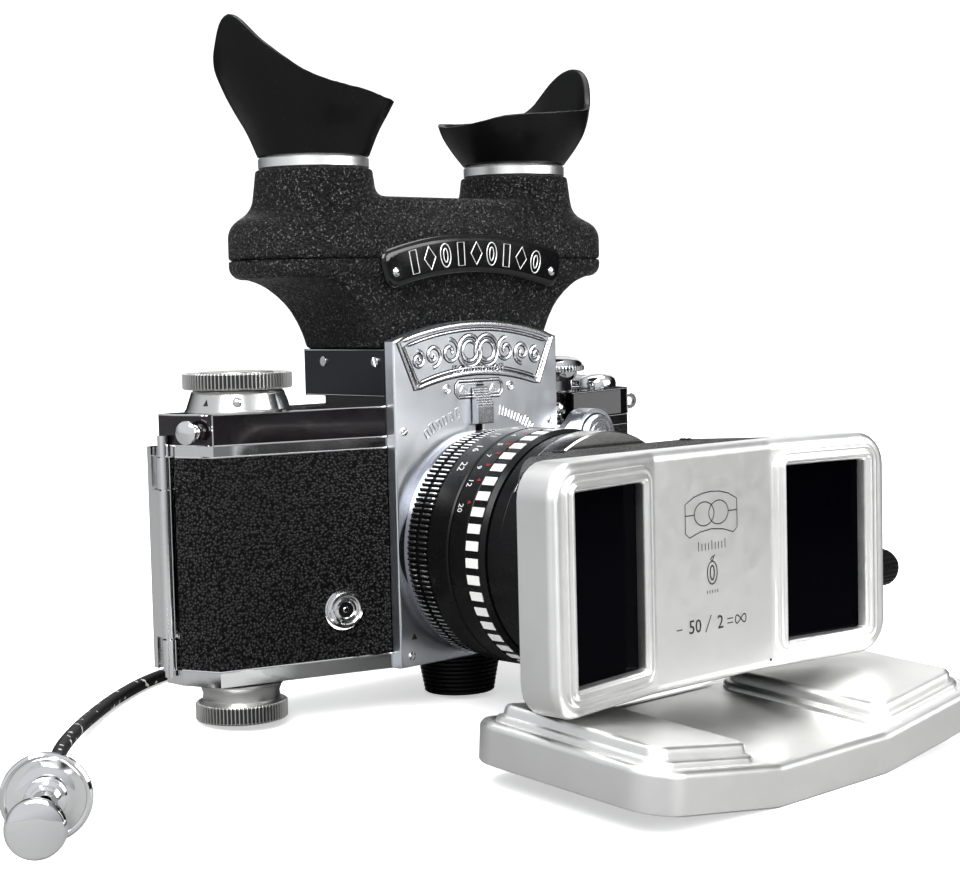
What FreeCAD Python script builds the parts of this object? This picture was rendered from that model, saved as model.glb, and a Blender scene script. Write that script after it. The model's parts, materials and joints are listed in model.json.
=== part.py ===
"""Stereo viewer outfit: a 35 mm reflex camera with a binocular finder, a stereo prism
attachment on its lens, the attachment's cover and a cable release.

The camera is drawn upright in its own frame: origin where the lens axis meets the front
plate, +X to the right seen from the front, +Y towards the film, +Z up, millimetres.
It stands leaning back on the rewind knob and the round foot, with its front propped on the
cover, so every camera piece is then turned by LEAN into the table frame, where Z = 0 is the
table top. The cover and the cable are drawn in the table frame."""
import FreeCAD, Part
import math
import os
from FreeCAD import Placement, Rotation, Vector

# ---- stance ----
LEAN = 4.4                          # degrees the camera leans back
STAND = Vector(0.11, 29.27, 40.842)    # from the lens axis to the table frame's origin

# ---- camera body ----
PLATE_HALF = 28.1                   # front plate: half width, thickness, heights
PLATE_THICK = 3.1
PLATE_SHOULDER = 51.3
PLATE_CROWN = 55.9
BASE = -29.0                        # levels up the body
BASE_TOP = -25.4
LEATHER_TOP = 25.6
BAND = 28.0
TOP = 35.6
OUTLINE = [(PLATE_HALF, PLATE_THICK), (71.2, 14.9), (75.0, 25.0)]
BODY_BACK = 31.4
SKIN = 0.8                          # leather thickness
DOOR_IN = 31.8                      # hinged back: inner and outer face
DOOR_OUT = 34.8
DOOR_END = -77.2                    # outer face at the hinged end
DOOR_ROUND = 2.0
HINGE = (-76.4, 27.9)
HINGE_R = 1.6
HINGE_PIN_R = 0.8
MOUNT_HOLE_R = 20.2
LUG_Z = 31.4                        # height of the strap lugs
EYELET_OUT = 3.2
EYELET_R = 2.3
EYELET_HOLE_R = 1.2

# ---- knobs and dials ----
REWIND = (-61.0, 21.0)
REWIND_R = 11.0
REWIND_FOOT = -38.5
DIAL = (-60.0, 20.0)
DIAL_R = 13.0
SPEED = (42.0, 17.0)
SPEED_R = 9.8
LEVER = (64.0, 19.5)
RELEASE = (36.3, 24.8)              # x, z of the shutter release
RELEASE_R = 2.6
ARM_BUTTON_R = 5.5
NOTCH = (40.0, 10.0)                # the right top cover starts here, clear of the release
FOOT = (0.0, 10.0)
FOOT_R = 10.9
FOOT_TALL = 10.5
TRIPOD_R = 3.175                    # quarter-inch tripod thread
TRIPOD_DEEP = 6.2
RUN = 0.05                          # radial clearance of a running fit
GAP = 0.35                          # clearance between moving neighbours

# ---- lens ----
CORE_R = 25.5
BARREL_R = 20.0
RING_BACK = -3.0
APERTURE_FRONT = -19.1
FOCUS_BACK = -19.5
FOCUS_FRONT = -31.2
BARREL_FLANGE = -31.7
COLLAR_BACK = -36.2
HOUSING_BACK = -44.0

# ---- stereo attachment ----
MASK_W = 115.9
MASK_H = 54.0
MASK_RIM = 11.0
MASK_FRONT = -83.3
MASK_STEP = 5.8                     # the middle facet lies this far back
MASK_BEND = 20.5
CORNER = 8.0
WINDOW = (24.9, 50.5, 20.6)         # inner x, outer x, half height
MASK_BACK = MASK_FRONT + MASK_RIM
CLAMP = (-77.5, -7.7)               # y, z of the clamp screw

# ---- binocular finder ----
FOOT_HALF = 27.6
FINDER_FRONT = 3.6
NECK_BACK = 35.5
SHOE = (37.7, 49.5)
PARTING = 71.6
BULGE = (67.0, 82.0)
BULGE_Y = 19.4                      # its middle lies a little ahead of the eyepieces
BULGE_ROUND = (3.2, 5.0)            # edge radii below and above
BULGE_END = 40.5                    # x of the round ends' centres
BULGE_R = 17.3
EYE = (34.25, 20.9)
EYE_RING_R = 13.6
EYE_RING = (93.9, 96.7)
CUP_FOOT = EYE_RING[1] + 0.35       # the rubber cups start just clear of their rings
CUP_WALL = 1.7
SADDLE = 87.0
BADGE_X = 1.0                       # the name plate sits a little off the middle
BADGE_Y = (0.7, 2.1)                # its front and back faces
# Each cup: which way its wing points from its own side, in degrees, the outer profile as
# (radius, z), and the height of its rim along the wing's direction as (distance, z).
CUPS = {
    -1: (-2.0, [(13.7, CUP_FOOT), (16.2, 103.0), (19.0, 108.0), (21.5, 113.0), (23.7, 119.0),
                (24.9, 126.0), (26.0, 133.0)],
         [(-32.0, 110.3), (-24.0, 110.3), (-10.0, 110.4), (2.0, 111.9), (10.0, 113.4),
          (16.0, 115.9), (20.0, 119.3), (23.0, 123.3), (25.3, 129.0), (26.4, 133.0)]),
    1: (-5.0, [(13.7, CUP_FOOT), (17.0, 101.5), (19.3, 105.5), (20.5, 109.5), (21.2, 114.0),
               (21.9, 119.0), (22.6, 127.0)],
        [(-32.0, 104.5), (-20.0, 106.9), (-14.0, 108.9), (-3.5, 109.7), (3.5, 110.3),
         (10.0, 111.0), (15.0, 112.3), (18.4, 114.6), (20.3, 118.9), (21.5, 123.2),
         (22.5, 127.0)])}

# ---- cover, in the table frame ----
COVER_W = 119.8
COVER_H = 57.0
COVER_BEND = 19.7
COVER_DROP = 5.8
COVER_SKIRT = 9.6
COVER_STEP = 4.1
COVER_WALL = 1.4
COVER_AT = (6.6, -50.9)
COVER_YAW = 0.6

# ---- cable release, in the table frame ----
CABLE_R = 1.6
CABLE_GAP = 0.15                    # keeps the ferrule's square end clear of the cable
ROUTE = [
    (54.1, 23.3, 33.3), (58.6, 9.0, 33.0), (72.0, -2.0, 28.5), (89.0, 0.0, 20.0),
    (100.5, 14.5, 11.0), (103.5, 33.0, 4.4), (100.0, 52.0, 1.6), (90.0, 69.0, 1.6),
    (74.0, 81.0, 1.6), (53.0, 88.0, 1.6), (30.0, 91.0, 1.6), (6.0, 92.0, 1.6),
    (-16.0, 95.5, 1.6), (-38.0, 96.5, 1.6), (-58.0, 90.5, 1.6), (-76.0, 79.0, 1.7),
    (-92.0, 65.0, 2.4), (-106.5, 49.5, 4.2), (-120.0, 33.2, 6.0), (-130.0, 17.5, 7.8),
    (-138.8, 5.1, 8.8)]
ARC_SHARE = 0.45


# ---------------------------------------------------------------- shapes
def box(x0, x1, y0, y1, z0, z1):
    return Part.makeBox(x1 - x0, y1 - y0, z1 - z0, Vector(x0, y0, z0))


def rod(centre, axis, radius, length):
    return Part.makeCylinder(radius, length, Vector(*centre), Vector(*axis))


def rod_z(at, radius, z0, z1):
    return rod((at[0], at[1], z0), (0, 0, 1), radius, z1 - z0)


def rod_y(at, radius, y0, y1):
    """Cylinder along Y; at gives x and z."""
    return rod((at[0], y0, at[1]), (0, 1, 0), radius, y1 - y0)


def ring_y(outer, inner, y0, y1):
    return rod_y((0, 0), outer, y0, y1).cut(rod_y((0, 0), inner, y0 - 1, y1 + 1))


def slab(points, z0, z1):
    """Polygon in plan, from z0 up to z1."""
    wire = Part.makePolygon([Vector(x, y, z0) for x, y in points + points[:1]])
    return Part.Face(wire).extrude(Vector(0, 0, z1 - z0))


def slab_y(points, y0, y1):
    """Polygon seen from the front, from y0 back to y1."""
    wire = Part.makePolygon([Vector(x, y0, z) for x, z in points + points[:1]])
    return Part.Face(wire).extrude(Vector(0, y1 - y0, 0))


def round_block(half_x, half_y, radius, z0, z1):
    """Block on the Z axis with rounded upright edges."""
    block = box(-half_x, half_x, -half_y, half_y, z0, z1)
    upright = [e for e in block.Edges if abs(e.tangentAt(e.FirstParameter).z) > 0.9]
    return block.makeFillet(radius, upright)


def round_plate(half_x, half_z, radius, y0, y1):
    """The same block laid along Y."""
    block = round_block(half_x, half_z, radius, -y1, -y0)
    block.rotate(Vector(0, 0, 0), Vector(1, 0, 0), 90)
    return block


def turned_z(profile, at):
    """Solid turned about a vertical axis from (radius, z) points."""
    wire = Part.makePolygon([Vector(r, 0, z) for r, z in profile + profile[:1]])
    solid = Part.Face(wire).revolve(Vector(0, 0, 0), Vector(0, 0, 1), 360)
    solid.translate(Vector(at[0], at[1], 0))
    return solid


def turned_y(profile):
    """Solid turned about the lens axis from (radius, y) points."""
    wire = Part.makePolygon([Vector(r, y, 0) for r, y in profile + profile[:1]])
    return Part.Face(wire).revolve(Vector(0, 0, 0), Vector(0, 1, 0), 360)


def mirrored(shape):
    return shape.mirror(Vector(0, 0, 0), Vector(1, 0, 0))


def joined(*shapes):
    return shapes[0].multiFuse(list(shapes[1:])).removeSplitter()


def group(*shapes):
    return Part.makeCompound(list(shapes))


# ---------------------------------------------------------------- body
def plan(inset, z0, z1, back=BODY_BACK):
    """The body's plan, its walls moved in by inset, cut off square at the back."""
    right = OUTLINE + [(OUTLINE[-1][0], 60.0)]
    points = right + [(-x, y) for x, y in reversed(right)]
    wire = Part.makePolygon([Vector(x, y, z0) for x, y in points + points[:1]])
    face = Part.Face(wire)
    if inset:
        face = face.makeOffset2D(-inset, 2)
    solid = face.extrude(Vector(0, 0, z1 - z0))
    return solid.common(box(-90, 90, -5, back, z0 - 1, z1 + 1))


def side(shape, sign, from_x=PLATE_HALF):
    """The part of a shape beyond from_x on one side."""
    far = 100.0
    low, high = sorted((sign * from_x, sign * far))
    return shape.common(box(low, high, -20, 90, -60, 60))


def body_casting():
    shell = plan(SKIN, BASE_TOP, LEATHER_TOP)
    lip = plan(0, LEATHER_TOP, BAND)
    middle = box(-PLATE_HALF, PLATE_HALF, PLATE_THICK, BODY_BACK, BASE_TOP, BAND)
    knuckles = [rod_z(HINGE, HINGE_R, z0, z1) for z0, z1 in ((-25.4, -18.0), (18.0, 25.4))]
    ears = [box(HINGE[0], -73.0, 26.6, 29.0, z0, z1) for z0, z1 in ((-25.4, -18.0), (18.0, 25.4))]
    solid = joined(shell, lip, middle, *knuckles, *ears)
    chamber_left = side(plan(3.0, -22.5, 23.5, back=40), -1, 25.0)
    chamber_right = side(plan(3.0, -22.5, 18.5, back=40), 1, 25.0)
    mirror_box = box(-19.5, 19.5, 6.0, 28.0, -20.0, BAND + 1)
    gate = box(-18.0, 18.0, 27.0, BODY_BACK + 1, -12.0, 12.0)
    mount = rod_y((0, 0), MOUNT_HOLE_R, PLATE_THICK - 1, 7.0)
    rewind = rod_z(REWIND, 3.0 + RUN, BASE_TOP - 1, -20.0)
    pin = rod_z(HINGE, HINGE_PIN_R, BASE_TOP - 1, LEATHER_TOP)
    release = rod_y(RELEASE, RELEASE_R + GAP, 0.0, 17.0)
    sockets = [socket_hole(-1), socket_hole(1)]
    catch = box(-1.2, 1.2, PLATE_THICK - 1, 5.0, 26.0, BAND)
    for hollow in (chamber_left, chamber_right, mirror_box, gate, mount, rewind, pin,
                   release, catch, *sockets):
        solid = solid.cut(hollow)
    return solid


def leather(sign):
    skin = plan(0, BASE_TOP, LEATHER_TOP, back=25.6).cut(plan(SKIN, -30, 30))
    skin = side(skin, sign, PLATE_HALF + 0.3)
    skin = skin.cut(rod_y(RELEASE, RELEASE_R + GAP, -5.0, 17.0))
    for at in (flash_place(-1), flash_place(1)):
        skin = skin.cut(rod(at, (0.0, 1.0, 0.0), 5.2, 12.0))
        skin = skin.cut(rod(at, (0.0, -1.0, 0.0), 5.2, 12.0))
    return skin


def flash_place(sign):
    """Centre of a round socket on a slanted front panel."""
    (x0, y0), (x1, y1) = OUTLINE[0], OUTLINE[1]
    share = 0.276 if sign < 0 else 0.51
    height = -13.4 if sign < 0 else -8.0
    return (sign * (x0 + share * (x1 - x0)), y0 + share * (y1 - y0), height)


def panel_normal(sign):
    """Outward direction of a slanted front panel."""
    (x0, y0), (x1, y1) = OUTLINE[0], OUTLINE[1]
    length = math.hypot(x1 - x0, y1 - y0)
    return Vector(sign * (y1 - y0) / length, -(x1 - x0) / length, 0)


def socket_hole(sign):
    """Clearance in the wall for a socket's barrel."""
    out = panel_normal(sign)
    return Part.makeCylinder(3.25, 20.0, Vector(*flash_place(sign)) - out * 3.0, out)


def round_socket(sign, bore):
    """Ringed socket let into a slanted front panel, its bore open to the front."""
    centre = Vector(*flash_place(sign))
    out = panel_normal(sign)
    ring = Part.makeCylinder(4.5, 1.6, centre - out * 0.7, out)
    barrel = Part.makeCylinder(3.2, 2.6, centre - out * 2.8, out)
    hole = Part.makeCylinder(bore, 6.0, centre - out * 2.4, out)
    return joined(ring, barrel).cut(hole)


def front_plate():
    half = PLATE_HALF
    rise = PLATE_CROWN - PLATE_SHOULDER
    edge = [Part.LineSegment(Vector(-half, 0, PLATE_SHOULDER), Vector(-half, 0, BASE)),
            Part.LineSegment(Vector(-half, 0, BASE), Vector(half, 0, BASE)),
            Part.LineSegment(Vector(half, 0, BASE), Vector(half, 0, PLATE_SHOULDER)),
            Part.Arc(Vector(half, 0, PLATE_SHOULDER), Vector(0, 0, PLATE_SHOULDER + rise),
                     Vector(-half, 0, PLATE_SHOULDER))]
    face = Part.Face(Part.Wire([e.toShape() for e in edge]))
    plate = face.extrude(Vector(0, PLATE_THICK, 0))
    plate = plate.cut(rod_y((0, 0), MOUNT_HOLE_R, -1, PLATE_THICK + 1))
    return plate.cut(box(-1.2, 1.2, -1, PLATE_THICK + 1, 28.0, 35.6))


def top_cover(sign):
    cover = side(plan(0, BAND, TOP), sign)
    at = DIAL if sign < 0 else SPEED
    cover = cover.cut(rod_z(at, 2.5 + RUN, BAND - 1, TOP + 1))
    if sign > 0:
        cover = cover.cut(rod_z(LEVER, 2.5 + RUN, BAND - 1, TOP + 1))
        cover = cover.cut(box(PLATE_HALF - 1, NOTCH[0], 0.0, NOTCH[1], BAND, TOP + 1))
    return cover


def finder_well():
    deck = box(-PLATE_HALF, PLATE_HALF, PLATE_THICK, BODY_BACK, BAND, TOP)
    rim = box(-24.4, 24.4, 5.2, BODY_BACK, TOP, 46.0)
    well = box(-18.5, 18.5, 7.5, 28.0, BAND - 1, 47.0)
    slot = box(-1.2, 1.2, PLATE_THICK - 1, 5.0, BAND - 1, TOP)
    return joined(deck, rim).cut(well).cut(slot)


def base_plate():
    plate = plan(0, BASE, BASE_TOP)
    return plate.cut(rod_z(REWIND, 3.0 + RUN, BASE - 1, 0)).cut(rod_z(FOOT, 3.0, BASE - 1, 0))


def strap_lugs():
    """A stud for the strap at the left end and a flat eyelet at the right one."""
    (x0, y0), (x1, y1) = OUTLINE[1], OUTLINE[2]
    out = Vector(-(y1 - y0), -(x1 - x0), 0).normalize()
    root = Vector(-(x0 + x1) / 2, (y0 + y1) / 2, LUG_Z)
    stud = joined(Part.makeCylinder(1.8, 2.6, root, out),
                  Part.makeCylinder(2.9, 1.3, root + out * 2.6, out))
    tab = box(0.0, EYELET_OUT, -0.7, 0.7, -EYELET_R, EYELET_R)
    tab = joined(tab, rod_y((EYELET_OUT, 0.0), EYELET_R, -0.7, 0.7))
    tab = tab.cut(rod_y((EYELET_OUT, 0.0), EYELET_HOLE_R, -1.0, 1.0))
    tab.rotate(Vector(0, 0, 0), Vector(0, 0, 1), math.degrees(math.atan2(out.y, -out.x)))
    tab.translate(Vector(-root.x, root.y, root.z))
    return group(stud, tab)


# ---------------------------------------------------------------- hinged back
def back_door():
    """Hinged back: a tray with rounded ends, an arm round to the hinge barrel."""
    panel = box(DOOR_END, 75.2, DOOR_IN, DOOR_OUT, -25.2, 27.8)
    ends = [e for e in panel.Edges if abs(e.tangentAt(e.FirstParameter).z) > 0.9
            and e.BoundBox.YMin > DOOR_OUT - 0.1]
    panel = panel.makeFillet(DOOR_ROUND, ends)
    barrel = rod_z(HINGE, HINGE_R, -17.6, 17.6)
    arm = box(DOOR_END, HINGE[0] + 0.2, HINGE[1], DOOR_IN + 0.2, -17.6, 17.6)
    door = joined(panel, barrel, arm)
    return door.cut(rod_z(HINGE, HINGE_PIN_R + RUN, -30, 30))


def back_leather():
    return box(-72.0, 72.0, DOOR_OUT, DOOR_OUT + SKIN, -23.5, 26.0)


def pressure_plate():
    return box(-16.0, 16.0, 29.4, DOOR_IN, -10.0, 10.0)


def hinge_pin():
    return joined(rod_z(HINGE, HINGE_PIN_R, BASE_TOP, LEATHER_TOP),
                  rod_z(HINGE, 1.25, LEATHER_TOP, 30.6),
                  rod_z(HINGE, 1.25, BASE_TOP - 1.6, BASE_TOP))


def door_catch():
    """Sliding catch on the end of the body that holds the back shut."""
    return box(75.4, 77.0, 24.0, 30.8, -6.0, 6.0)


# ---------------------------------------------------------------- controls
def slow_dial_base():
    cone = Part.makeCone(12.7, 11.0, 5.2)
    cone.translate(Vector(DIAL[0], DIAL[1], TOP))
    return cone.cut(rod_z(DIAL, 2.5 + RUN, TOP - 1, 50))


def slow_dial():
    return joined(rod_z(DIAL, DIAL_R, 41.15, 45.0), rod_z(DIAL, 8.5, 45.0, 45.6),
                  rod_z(DIAL, 2.5, 29.5, 42.0))


def speed_dial():
    return joined(rod_z(SPEED, SPEED_R, 41.2, 45.2), rod_z(SPEED, 6.4, TOP + GAP, 41.2),
                  rod_z(SPEED, 2.5, 29.5, 42.0))


def wind_lever():
    hub = rod_z(LEVER, 5.2, TOP + GAP, 39.6)
    arm = box(LEVER[0] - 2.6, LEVER[0] + 2.6, LEVER[1], LEVER[1] + 11.0, 37.2, 39.4)
    tip = rod_z((LEVER[0], LEVER[1] + 11.0), 3.2, TOP + GAP, 39.8)
    return joined(hub, arm, tip, rod_z(LEVER, 2.5, 29.5, 37.0))


def shutter_release():
    return rod_y(RELEASE, RELEASE_R, 2.2, 12.0)


def finder_catch():
    grip = box(-2.7, 2.7, -2.5, -0.3, 29.9, 37.4)
    return joined(grip, box(-0.85, 0.85, -0.3, 4.4, 30.6, 33.2))


def rewind_knob():
    knurl = rod_z(REWIND, REWIND_R, REWIND_FOOT, -33.9)
    collar = rod_z(REWIND, 10.2, -33.9, BASE - GAP)
    return joined(knurl, collar, rod_z(REWIND, 3.0, BASE - 1, -18.5))


def support_foot():
    """Round ribbed foot screwed up into the tripod bush, with a tripod thread of its own."""
    foot = Part.makeCone(9.0, FOOT_R, FOOT_TALL)
    foot.translate(Vector(FOOT[0], FOOT[1], BASE - FOOT_TALL))
    stud = rod_z(FOOT, 3.0, BASE, BASE_TOP)
    thread = rod_z(FOOT, TRIPOD_R, BASE - FOOT_TALL - 1, BASE - FOOT_TALL + TRIPOD_DEEP)
    return joined(foot, stud).cut(thread)


# ---------------------------------------------------------------- mirror and screen
MIRROR_AXIS = (26.0, 9.6)           # y, z


def reflex_mirror():
    """Mirror hanging from its upper rear edge at 45 degrees under the screen."""
    y, z = MIRROR_AXIS
    plate = box(-16.0, 16.0, y - 22.0, y, z - 0.8, z + 0.8)
    plate.rotate(Vector(0, y, z), Vector(1, 0, 0), 45)
    return joined(plate, rod((-18.0, y, z), (1, 0, 0), 0.8, 36.0))


def focusing_screen():
    return box(-19.5, 19.5, 6.0, 28.0, 22.5, 26.5)


# ---------------------------------------------------------------- lens
def lens_flange():
    ring = ring_y(27.9, 15.5, -2.6, 0.0)
    return joined(ring, ring_y(BARREL_R, 17.5, 0.0, PLATE_THICK))


def lens_core():
    tube = ring_y(CORE_R, BARREL_R, -31.0, -2.6)
    return joined(tube, ring_y(BARREL_R, 15.0, -7.0, -2.6))


def aperture_ring():
    inner = CORE_R + GAP
    return turned_y([(inner, RING_BACK), (28.2, RING_BACK), (28.4, -11.0),
                     (29.3, -12.0), (29.3, APERTURE_FRONT), (inner, APERTURE_FRONT)])


def focus_ring():
    inner = CORE_R + GAP
    return turned_y([(inner, FOCUS_BACK), (29.3, FOCUS_BACK), (29.3, -30.2),
                     (28.4, FOCUS_FRONT), (inner, FOCUS_FRONT)])


def front_barrel():
    flange = ring_y(28.4, 16.0, COLLAR_BACK, BARREL_FLANGE)
    return joined(flange, ring_y(BARREL_R - RUN, 16.0, BARREL_FLANGE, -10.0))


def lens_disc(radius, y0, y1):
    return rod_y((0, 0), radius, y0, y1)


def release_arm():
    """Bracket from the lens flange that carries a button in front of the shutter release."""
    x, z = RELEASE
    reach = math.hypot(x, z)
    arm = box(24.0, reach, -2.6, -0.2, -6.5, 6.5)
    arm.rotate(Vector(0, 0, 0), Vector(0, 1, 0), -math.degrees(math.atan2(z, x)))
    boss = rod_y(RELEASE, ARM_BUTTON_R + 1.5, -6.0, -0.2)
    solid = joined(arm, boss).cut(rod_y((0, 0), 27.9, -5, 5))
    return solid.cut(rod_y(RELEASE, ARM_BUTTON_R + GAP, -20, 5))


def arm_button():
    return joined(rod_y(RELEASE, ARM_BUTTON_R, -8.0, -3.6), rod_y(RELEASE, 1.6, -3.6, 1.8))


# ---------------------------------------------------------------- stereo attachment
def mount_collar():
    return ring_y(29.0, 17.0, HOUSING_BACK, COLLAR_BACK)


def housing_plan(inset):
    near = 29.0 - inset
    far = MASK_W / 2 - 1.0 - inset
    back = HOUSING_BACK - inset
    return [(-near, back), (near, back), (far, MASK_BACK), (-far, MASK_BACK)]


def prism_housing():
    outer = slab(housing_plan(0), -25.4, 25.4)
    inner = slab(housing_plan(2.0), -23.4, 23.4)
    return outer.cut(inner).cut(rod_y((0, 0), 17.0, HOUSING_BACK - 5, HOUSING_BACK + 1))


def mask_front(y_shift):
    """Plan of the three-facet front, moved back by y_shift."""
    half = MASK_W / 2
    ends, middle = MASK_FRONT + y_shift, MASK_FRONT + MASK_STEP + y_shift
    return [(half, ends), (MASK_BEND, middle), (-MASK_BEND, middle), (-half, ends)]


def front_mask():
    half_x, half_z = MASK_W / 2, MASK_H / 2
    body = slab(mask_front(0) + [(-half_x, MASK_BACK), (half_x, MASK_BACK)], -half_z, half_z)
    body = body.common(round_plate(half_x, half_z, CORNER, -100, -60))
    wall = 2.2
    inner = slab(mask_front(wall) + [(-half_x, -60), (half_x, -60)], -half_z, half_z)
    body = body.cut(inner.common(round_plate(half_x - wall, half_z - wall, CORNER - wall,
                                             -100, -60)))
    x0, x1, high = WINDOW
    for sign in (-1, 1):
        frame = box(x0 - 3.0, x1 + 3.0, -1.2, 0.6, -high - 3.0, high + 3.0)
        body = joined(body, on_facet(frame, sign))
    for sign in (-1, 1):
        body = body.cut(on_facet(box(x0, x1, -5, 5, -high, high), sign))
    return body.cut(rod((half_x - 5.0, *CLAMP), (1, 0, 0), 2.0 + RUN, 6.0))


def on_facet(shape, sign):
    """Move a shape drawn on a flat front, y = 0, onto an end facet."""
    run = MASK_W / 2 - MASK_BEND
    turn = -math.degrees(math.atan2(MASK_STEP, run))
    moved = shape.copy()
    moved.rotate(Vector(MASK_BEND, 0, 0), Vector(0, 0, 1), turn)
    moved.translate(Vector(0, MASK_FRONT + MASK_STEP, 0))
    return moved if sign > 0 else mirrored(moved)


def window_glass():
    x0, x1, high = WINDOW
    pane = box(x0 - 1.5, x1 + 1.5, 2.2, 4.0, -high - 1.5, high + 1.5)
    return group(*[on_facet(pane, sign) for sign in (-1, 1)])


def stereo_prism(sign):
    """Rhomboid that carries one view from its window in to the lens."""
    points = [(49.0, -70.0), (26.0, -70.0), (1.0, -49.0), (27.5, -49.0)]
    return slab([(sign * x, y) for x, y in points], -18.0, 18.0)


def clamp_knob():
    x0 = MASK_W / 2
    shaft = rod((x0 - 4.0, *CLAMP), (1, 0, 0), 2.0, 6.0)
    head = rod((x0 + GAP, *CLAMP), (1, 0, 0), 4.6, 8.0)
    return joined(shaft, head)


# ---------------------------------------------------------------- binocular finder
def viewer_foot():
    z0, z1 = SHOE
    block = box(-FOOT_HALF, FOOT_HALF, FINDER_FRONT, NECK_BACK, z0, z1)
    over_rim = box(-24.8, 24.8, 4.8, 31.9, z0 - 1, 46.5)
    light = box(-17.0, 17.0, 9.0, 28.0, z0, z1 + 1)
    return block.cut(over_rim).cut(light)


def foot_screws():
    screws = []
    for sign in (-1, 1):
        for y in (7.3, 27.4):
            screws.append(rod((sign * FOOT_HALF, y, 46.4), (sign, 0, 0), 1.3, 0.5))
    return group(*screws)


def stadium(radius, z0, z1):
    bar = box(-BULGE_END, BULGE_END, BULGE_Y - radius, BULGE_Y + radius, z0, z1)
    ends = [rod_z((sign * BULGE_END, BULGE_Y), radius, z0, z1) for sign in (-1, 1)]
    return joined(bar, *ends)


def softened(solid, radius, level):
    """Round the edges that lie wholly at one height."""
    flat = [e for e in solid.Edges
            if abs(e.BoundBox.ZMin - level) < 1e-3 and abs(e.BoundBox.ZMax - level) < 1e-3]
    return solid.makeFillet(radius, flat)


def viewer_lower_shell():
    bulge = softened(stadium(BULGE_R, BULGE[0], PARTING), BULGE_ROUND[0], BULGE[0])
    low, high = SHOE[1], BULGE[0] + 0.6
    flare = 21.0
    face = Part.Face(Part.Wire([e.toShape() for e in (
        Part.LineSegment(Vector(-FOOT_HALF, 0, low), Vector(FOOT_HALF, 0, low)),
        Part.Arc(Vector(FOOT_HALF, 0, low), Vector(FOOT_HALF + flare * 0.3, 0, 62.0),
                 Vector(FOOT_HALF + flare, 0, high)),
        Part.LineSegment(Vector(FOOT_HALF + flare, 0, high),
                         Vector(-FOOT_HALF - flare, 0, high)),
        Part.Arc(Vector(-FOOT_HALF - flare, 0, high),
                 Vector(-FOOT_HALF - flare * 0.3, 0, 62.0), Vector(-FOOT_HALF, 0, low)))]))
    neck = face.extrude(Vector(0, NECK_BACK - FINDER_FRONT, 0))
    neck.translate(Vector(0, FINDER_FRONT + 0.2, 0))
    neck = neck.common(stadium(BULGE_R, low, high))
    hollow = box(-19.0, 19.0, 8.0, 29.0, low - 1, PARTING + 1)
    wings = box(-46.0, 46.0, 9.0, 33.0, BULGE[0] + 2.2, PARTING + 1)
    return joined(bulge, neck).cut(hollow).cut(wings)


def viewer_upper_shell():
    bulge = softened(stadium(BULGE_R, PARTING, BULGE[1]), BULGE_ROUND[1], BULGE[1])
    saddle = box(-EYE[0], EYE[0], 5.4, 34.4, BULGE[1] - 3, SADDLE)
    rise = EYE_RING[0] - (BULGE[1] - 3)
    turret = Part.makeCone(16.2, 14.3, rise)
    turret.translate(Vector(EYE[0], EYE[1], BULGE[1] - 3))
    solid = joined(bulge, saddle, turret, mirrored(turret))
    hollow = box(-46.0, 46.0, 9.0, 33.0, PARTING - 1, 81.0)
    tube = rod_z(EYE, 11.4, 80.0, EYE_RING[0] + 1)
    return solid.cut(hollow).cut(tube).cut(mirrored(tube))


def badge_plate():
    """Curved name plate across the front of the finder, left blank."""
    mid, half_height, radius = 72.8, 4.9, 100.0
    centre = (BADGE_X, mid - radius)
    band = rod_y(centre, radius + half_height, *BADGE_Y)
    band = band.cut(rod_y(centre, radius - half_height, -9, 9))
    return band.common(box(BADGE_X - 30.5, BADGE_X + 30.5, -9, 9, 55, 90))


def finder_prism(sign):
    return slab_y([(sign * x, z) for x, z in ((12.0, 71.9), (45.5, 71.9), (45.5, 80.6),
                                              (22.0, 80.6))], 9.5, 32.5)


def eyepiece_ring(sign):
    z0, z1 = EYE_RING
    at = (sign * EYE[0], EYE[1])
    ring = turned_z([(10.2, 84.0), (11.4, 84.0), (11.4, z0), (EYE_RING_R, z0),
                     (EYE_RING_R, z1), (11.6, z1), (11.6, 100.4), (10.2, 100.4)], at)
    return ring


def eye_lenses():
    return group(*[rod_z((sign * EYE[0], EYE[1]), 10.2, 86.0, 91.0) for sign in (-1, 1)])


def eyecup(sign):
    """Winged rubber cup: a flared cone cut off along an S-shaped rim."""
    turn, outer, heights = CUPS[sign]
    inner = [(r - CUP_WALL, z) for r, z in reversed(outer)]
    cup = turned_z(outer + inner, (0, 0))
    far, top = 40.0, 150.0
    rim = [Vector(x, -far, z) for x, z in heights]
    last, first = rim[-1], rim[0]
    edge = [Vector(last.x, -far, top), Vector(first.x, -far, top)]
    wire = Part.makePolygon(rim + edge + rim[:1])
    cup = cup.cut(Part.Face(wire).extrude(Vector(0, 2 * far, 0)))
    if sign < 0:
        cup = mirrored(cup)
    cup.rotate(Vector(0, 0, 0), Vector(0, 0, 1), sign * turn)
    cup.translate(Vector(sign * EYE[0], EYE[1], 0))
    return cup


# ---------------------------------------------------------------- cover
def cover_profile(lower, upper, half):
    """Front view of the bent tray between two heights above its lower edge."""
    end = lower + COVER_DROP
    return [(-half, end), (-COVER_BEND, lower), (COVER_BEND, lower), (half, end),
            (half, upper + COVER_DROP), (COVER_BEND, upper), (-COVER_BEND, upper),
            (-half, upper + COVER_DROP)]


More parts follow.
